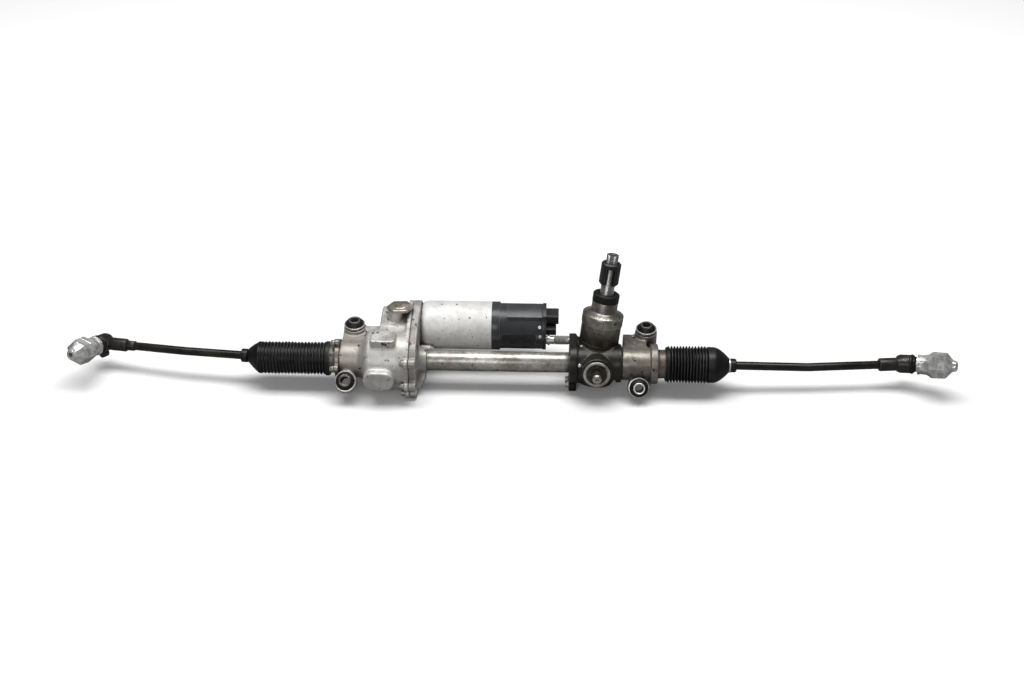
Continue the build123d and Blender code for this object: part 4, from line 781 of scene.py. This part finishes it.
# Small screws, each as its place in mm and the way its head faces
cover_screws = [((71.0, 39.3, 42.4), (0, -0.848, 0.53)), ((72.0, 33.9, 27.4), (0, -0.99, 0.139))]
front_screws = [((138.0, -28.2, 15.0), (0, -0.883, 0.469)), ((196.0, -27.7, -16.0), (0, -0.866, -0.5))]
top_screws = [((156.0, 5.5, 31.5), (0, 0.17, 0.985)), ((141.0, 2.0, 32.0), (0, 0.06, 0.998))]
screw_outline = in_metres([(-3.0, 0.0), (-3.0, 2.8), (1.2, 2.8), (1.8, 2.2), (1.8, 1.2), (0.8, 1.1),
                           (0.8, 0.0)])
heads = bmesh.new()
for place, facing in cover_screws + front_screws + top_screws:
    head = spun(Vector(place) * MM, facing, screw_outline, steps=20)
    head_mesh = bpy.data.meshes.new("screw_head")
    head.to_mesh(head_mesh)
    head.free()
    heads.from_mesh(head_mesh)
    bpy.data.meshes.remove(head_mesh)
screw_bright = turned_finish("screw_bright", (0.80, 0.79, 0.77), (0.36, 0.33, 0.29), rack_direction,
                             metallic=0.7, rough=0.3)
add_detail("small_screw_heads", heads, screw_bright, "housing")

# ------------------------------------------------------------------ yoke plug and adjuster
# Steel plug that closes the yoke's bore at the front, rusty in its recess, with a worn rim
# and the bright adjusting screw in its middle.
plug_steel = turned_finish("plug_steel", (0.15, 0.137, 0.118), (0.04, 0.033, 0.025), (0, -1, 0),
                           metallic=0.75, rough=0.32, patina_cut=(0.34, 0.60), corner_shade_amount=1.0, edge=4.2, wear=1.0,
                           mottling=0.6)
adjuster_steel = turned_finish("adjuster_steel", (0.74, 0.73, 0.71), (0.42, 0.37, 0.30), (0, -1, 0),
                               metallic=0.95, rough=0.22)
edged_piece("yoke_plug", plug_steel, 0.5 * MM)
plug_low, plug_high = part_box("yoke_plug")
plug_direction = Vector(rack_direction).cross(Vector(tower_direction)).normalized()
plug_size = plug_high - plug_low
plug_length = (plug_size.y - plug_size.x * abs(plug_direction.z)) / abs(plug_direction.y)
plug_front = (plug_low + plug_high) / 2 + plug_direction * plug_length / 2
rim_radius = plug_size.x / 2 / MM
rim_outline = in_metres([(-1.0, rim_radius - 4.0), (-1.0, rim_radius + 0.4), (0.2, rim_radius + 0.4),
                         (0.9, rim_radius - 0.3), (0.9, rim_radius - 3.2), (0.1, rim_radius - 4.0)])
rim_steel = turned_finish("rim_steel", (0.80, 0.78, 0.72), (0.16, 0.135, 0.105), tuple(plug_direction),
                          rough=0.30, patina_cut=(0.50, 0.64), mottling=0.6)
add_detail("plug_rim", spun(plug_front, plug_direction, rim_outline), rim_steel, "housing")
edged_piece("adjuster_screw", adjuster_steel, 0.5 * MM)

# ------------------------------------------------------------------ tie rods and rod ends
# Satin black steel rods with a brownish bloom, their threaded shanks, and forged rod ends.


def painted_finish(name, colour, bloom, rough, bare=(0.30, 0.27, 0.24)):
    """Thin black paint on steel: brown bloom, rubbed edges, a few bare specks and painted shade in corners.
    """
    made, tree, shader = new_material(name, 0.25)
    patches = blotches(tree, 26.0, 0.42, 0.78, detail=9.0, roughness=0.7, seed=15.0)
    aged = tint(tree, patches, colour, bloom)
    specks = blotches(tree, 120.0, 0.69, 0.72, detail=3.0, seed=16.0)
    speckled = tint(tree, number(tree, "MULTIPLY", specks, 0.7), aged, bare)
    # Painted shade: corners where near surfaces shut the light out darken the paint.
    corner_shade_mask = group_mask(tree, corner_shade_group, Reach=0.006, Amount=0.8)
    corner_shaded = tint(tree, corner_shade_mask, speckled, scaled(colour, 0.4))
    worn = group_mask(tree, edge_group, Radius=0.0008, Amount=0.7)
    tree.links.new(tint(tree, worn, corner_shaded, bare), shader.inputs["Base Color"])
    tree.links.new(level(tree, patches, low=rough - 0.06, high=rough + 0.16), shader.inputs["Roughness"])
    bump(tree, shader, grain_height(tree, 300.0, 4.0), 0.06 * MM, 0.4)
    return made


rod_black = painted_finish("rod_black", (0.012, 0.011, 0.010), (0.036, 0.030, 0.024), rough=0.30)
forged_black = painted_finish("forged_black", (0.016, 0.015, 0.014), (0.055, 0.047, 0.038), rough=0.34,
                              bare=(0.42, 0.40, 0.37))
for side in ("left", "right"):
    edged_piece(f"tie_rod_{side}", rod_black, 0.4 * MM)
    edged_piece(f"rod_end_{side}", forged_black, 0.7 * MM)

# ------------------------------------------------------------------ stud caps and dust boots
# Each outer stud stands under a cap of bright pressed sheet: a crinkled round skirt, a hexagon
# body and a nose with a dark hole. A bulging rubber boot seals the ball joint below it.


def sheet_finish(name, colour, shade, crinkle_axis, crinkle_point, crinkle_reach):
    """Pressed bright sheet: scuffs, painted grey shade in cloudy patches and in corners, and creases round
    the skirt.
    """
    made, tree, shader = new_material(name, 0.62)
    cloudy = blotches(tree, 48.0, 0.42, 0.60, detail=8.0, roughness=0.72, seed=17.0)
    scuffs = blotches(tree, 90.0, 0.52, 0.62, detail=9.0, roughness=0.8, stretch=(1, 3, 1), seed=18.0)
    # Painted shade: cloudy patches of the bright sheet darken to the shade colour.
    base = tint(tree, number(tree, "MULTIPLY", cloudy, 0.85), colour, shade)
    scuffed = tint(tree, number(tree, "MULTIPLY", scuffs, 0.6), base, scaled(shade, 0.45))
    # Painted shade: corners where near surfaces shut the light out darken further.
    corner_shade_mask = group_mask(tree, corner_shade_group, Reach=0.006)
    corner_shaded = tint(tree, corner_shade_mask, scuffed, scaled(shade, 0.25))
    worn = group_mask(tree, edge_group, Radius=0.0008, Amount=0.8)
    tree.links.new(tint(tree, worn, corner_shaded, scaled(colour, 1.2)), shader.inputs["Base Color"])
    tree.links.new(level(tree, scuffs, low=0.16, high=0.36), shader.inputs["Roughness"])
    from_point = add_node(tree, "VectorMath", {0: own_place(tree), 1: crinkle_point},
                          operation="SUBTRACT").outputs[0]
    along = add_node(tree, "VectorMath", {0: from_point, 1: crinkle_axis},
                     operation="DOT_PRODUCT").outputs["Value"]
    skirt = level(tree, along, crinkle_reach, 0.0, 0.12, 1.0)
    creases = grain_height(tree, 210.0, 3.0, distortion=1.8)
    bump(tree, shader, number(tree, "MULTIPLY", creases, skirt), 1.8 * MM, 1.0)
    return made


# Outlines in mm along the stud and from it, measured from the ball's centre
cap_line = [(22.0, 15.6), (22.0, 16.8), (26.0, 15.9), (31.0, 16.3), (36.0, 17.0), (40.0, 18.6), (44.0, 20.6),
            (46.0, 20.9), (53.0, 20.7), (53.6, 20.2), (54.2, 20.7), (66.0, 20.4), (68.5, 19.6), (77.0, 11.0),
            (79.0, 9.6), (84.0, 8.6), (85.0, 7.6), (85.0, 4.2), (78.0, 4.2), (77.0, 9.0), (66.0, 18.8),
            (44.0, 18.8), (36.0, 15.6)]
dust_line = [(9.1, 8.0), (9.1, 15.0), (10.2, 16.0), (12.0, 16.4), (13.8, 15.7), (15.2, 13.9), (16.4, 12.9),
             (17.8, 12.8), (19.2, 11.6), (21.0, 9.9), (21.0, 6.2), (17.5, 6.2)]
skirt_start, skirt_end = 22.0 * MM, 42.0 * MM
crinkles_fade = (34 * MM, 42 * MM)
faces_begin, faces_fade, face_reach = (38 * MM, 45 * MM), (82 * MM, 74 * MM), 0.93


def cap_form(point, axis):
    """A pressed cap: round skirt, six-sided body and a tapered nose round an open hole."""
    work = spun(point, axis, in_metres(cap_line), steps=96)
    along = Vector(axis).normalized()
    first = along.orthogonal().normalized()
    second = along.cross(first)
    for vert in work.verts:
        offset = vert.co - Vector(point)
        height = offset.dot(along)
        away = offset - along * height
        turn = atan2(away.dot(second), away.dot(first)) % radians(60) - radians(30)
        faceted = between(height, *faces_begin) * between(height, *faces_fade)
        crinkle = noise.noise(vert.co * 130.0) * (1.0 - between(height, *crinkles_fade))
        dent = noise.noise(vert.co * 60.0 + Vector((5, 0, 0))) * 0.35
        away *= 1.0 + faceted * (face_reach / cos(turn) - 1.0)
        vert.co = Vector(point) + along * height + away + away.normalized() * (crinkle + dent) * MM
    return work


for side in ("left", "right"):
    turn = joint_of[f"outer_joint_turn_{side}"]
    ball_centre = Vector(turn["pos_m"])
    stud_direction = Vector(turn["axis"]).normalized()
    cap_metal = sheet_finish(f"cap_sheet_{side}", (0.95, 0.95, 0.94), (0.36, 0.355, 0.34),
                             tuple(stud_direction), tuple(ball_centre + stud_direction * skirt_start),
                             skirt_end - skirt_start)
    add_piece(f"pressed_cap_{side}", cap_form(ball_centre, stud_direction), cap_metal,
              f"shield_cap_{side}", crease=24.0)
    dust_piece = new_object(f"dust_bulge_{side}", spun(ball_centre, stud_direction, in_metres(dust_line),
                                                       steps=72), collar_rubber, crease=55.0)
    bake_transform(dust_piece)
    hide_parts(f"dust_boot_{side}")

# ------------------------------------------------------------------ pieces inside
# Nothing of these shows from outside, and the CAD nodes keep their shapes: ground steel, cast
# and sintered metal, rubber belt, plastic seats and the green board get their own finish.
ground_steel = turned_finish("ground_steel", (0.66, 0.65, 0.63), (0.46, 0.43, 0.38), rack_direction,
                             metallic=0.95, rough=0.22)
dull_steel = turned_finish("dull_steel", (0.46, 0.45, 0.43), (0.28, 0.25, 0.21), rack_direction,
                           metallic=0.9, rough=0.40)
seat_plastic = plastic_finish("seat_plastic", (0.62, 0.60, 0.54), (0.75, 0.74, 0.70), rough=0.45)
board_green = plastic_finish("board_green", (0.03, 0.16, 0.07), (0.35, 0.42, 0.36), rough=0.5)
belt_rubber = rubber_finish("belt_rubber", (0.022, 0.022, 0.022), (0.07, 0.07, 0.07), rough=0.6)
inner_nodes = {
    ground_steel: ["rack_bar", "ball_nut", "nut_balls", "pinion_shaft", "torsion_bar", "bearings",
                   "inner_socket_left", "inner_socket_right", "ball_stud_left", "ball_stud_right"],
    dull_steel: ["large_pulley", "small_pulley", "rotor", "stator", "yoke_spring", "end_shield", "yoke"],
    seat_plastic: ["rack_bush", "inner_seat_left", "inner_seat_right", "outer_seat_left",
                   "outer_seat_right"],
    board_green: ["circuit_board"],
    belt_rubber: ["belt"],
    cover_plastic: ["torque_sensor"],
}
for material, nodes in inner_nodes.items():
    for node in nodes:
        mesh = frame["nodes"][node].data
        mesh.materials.clear()
        mesh.materials.append(material)
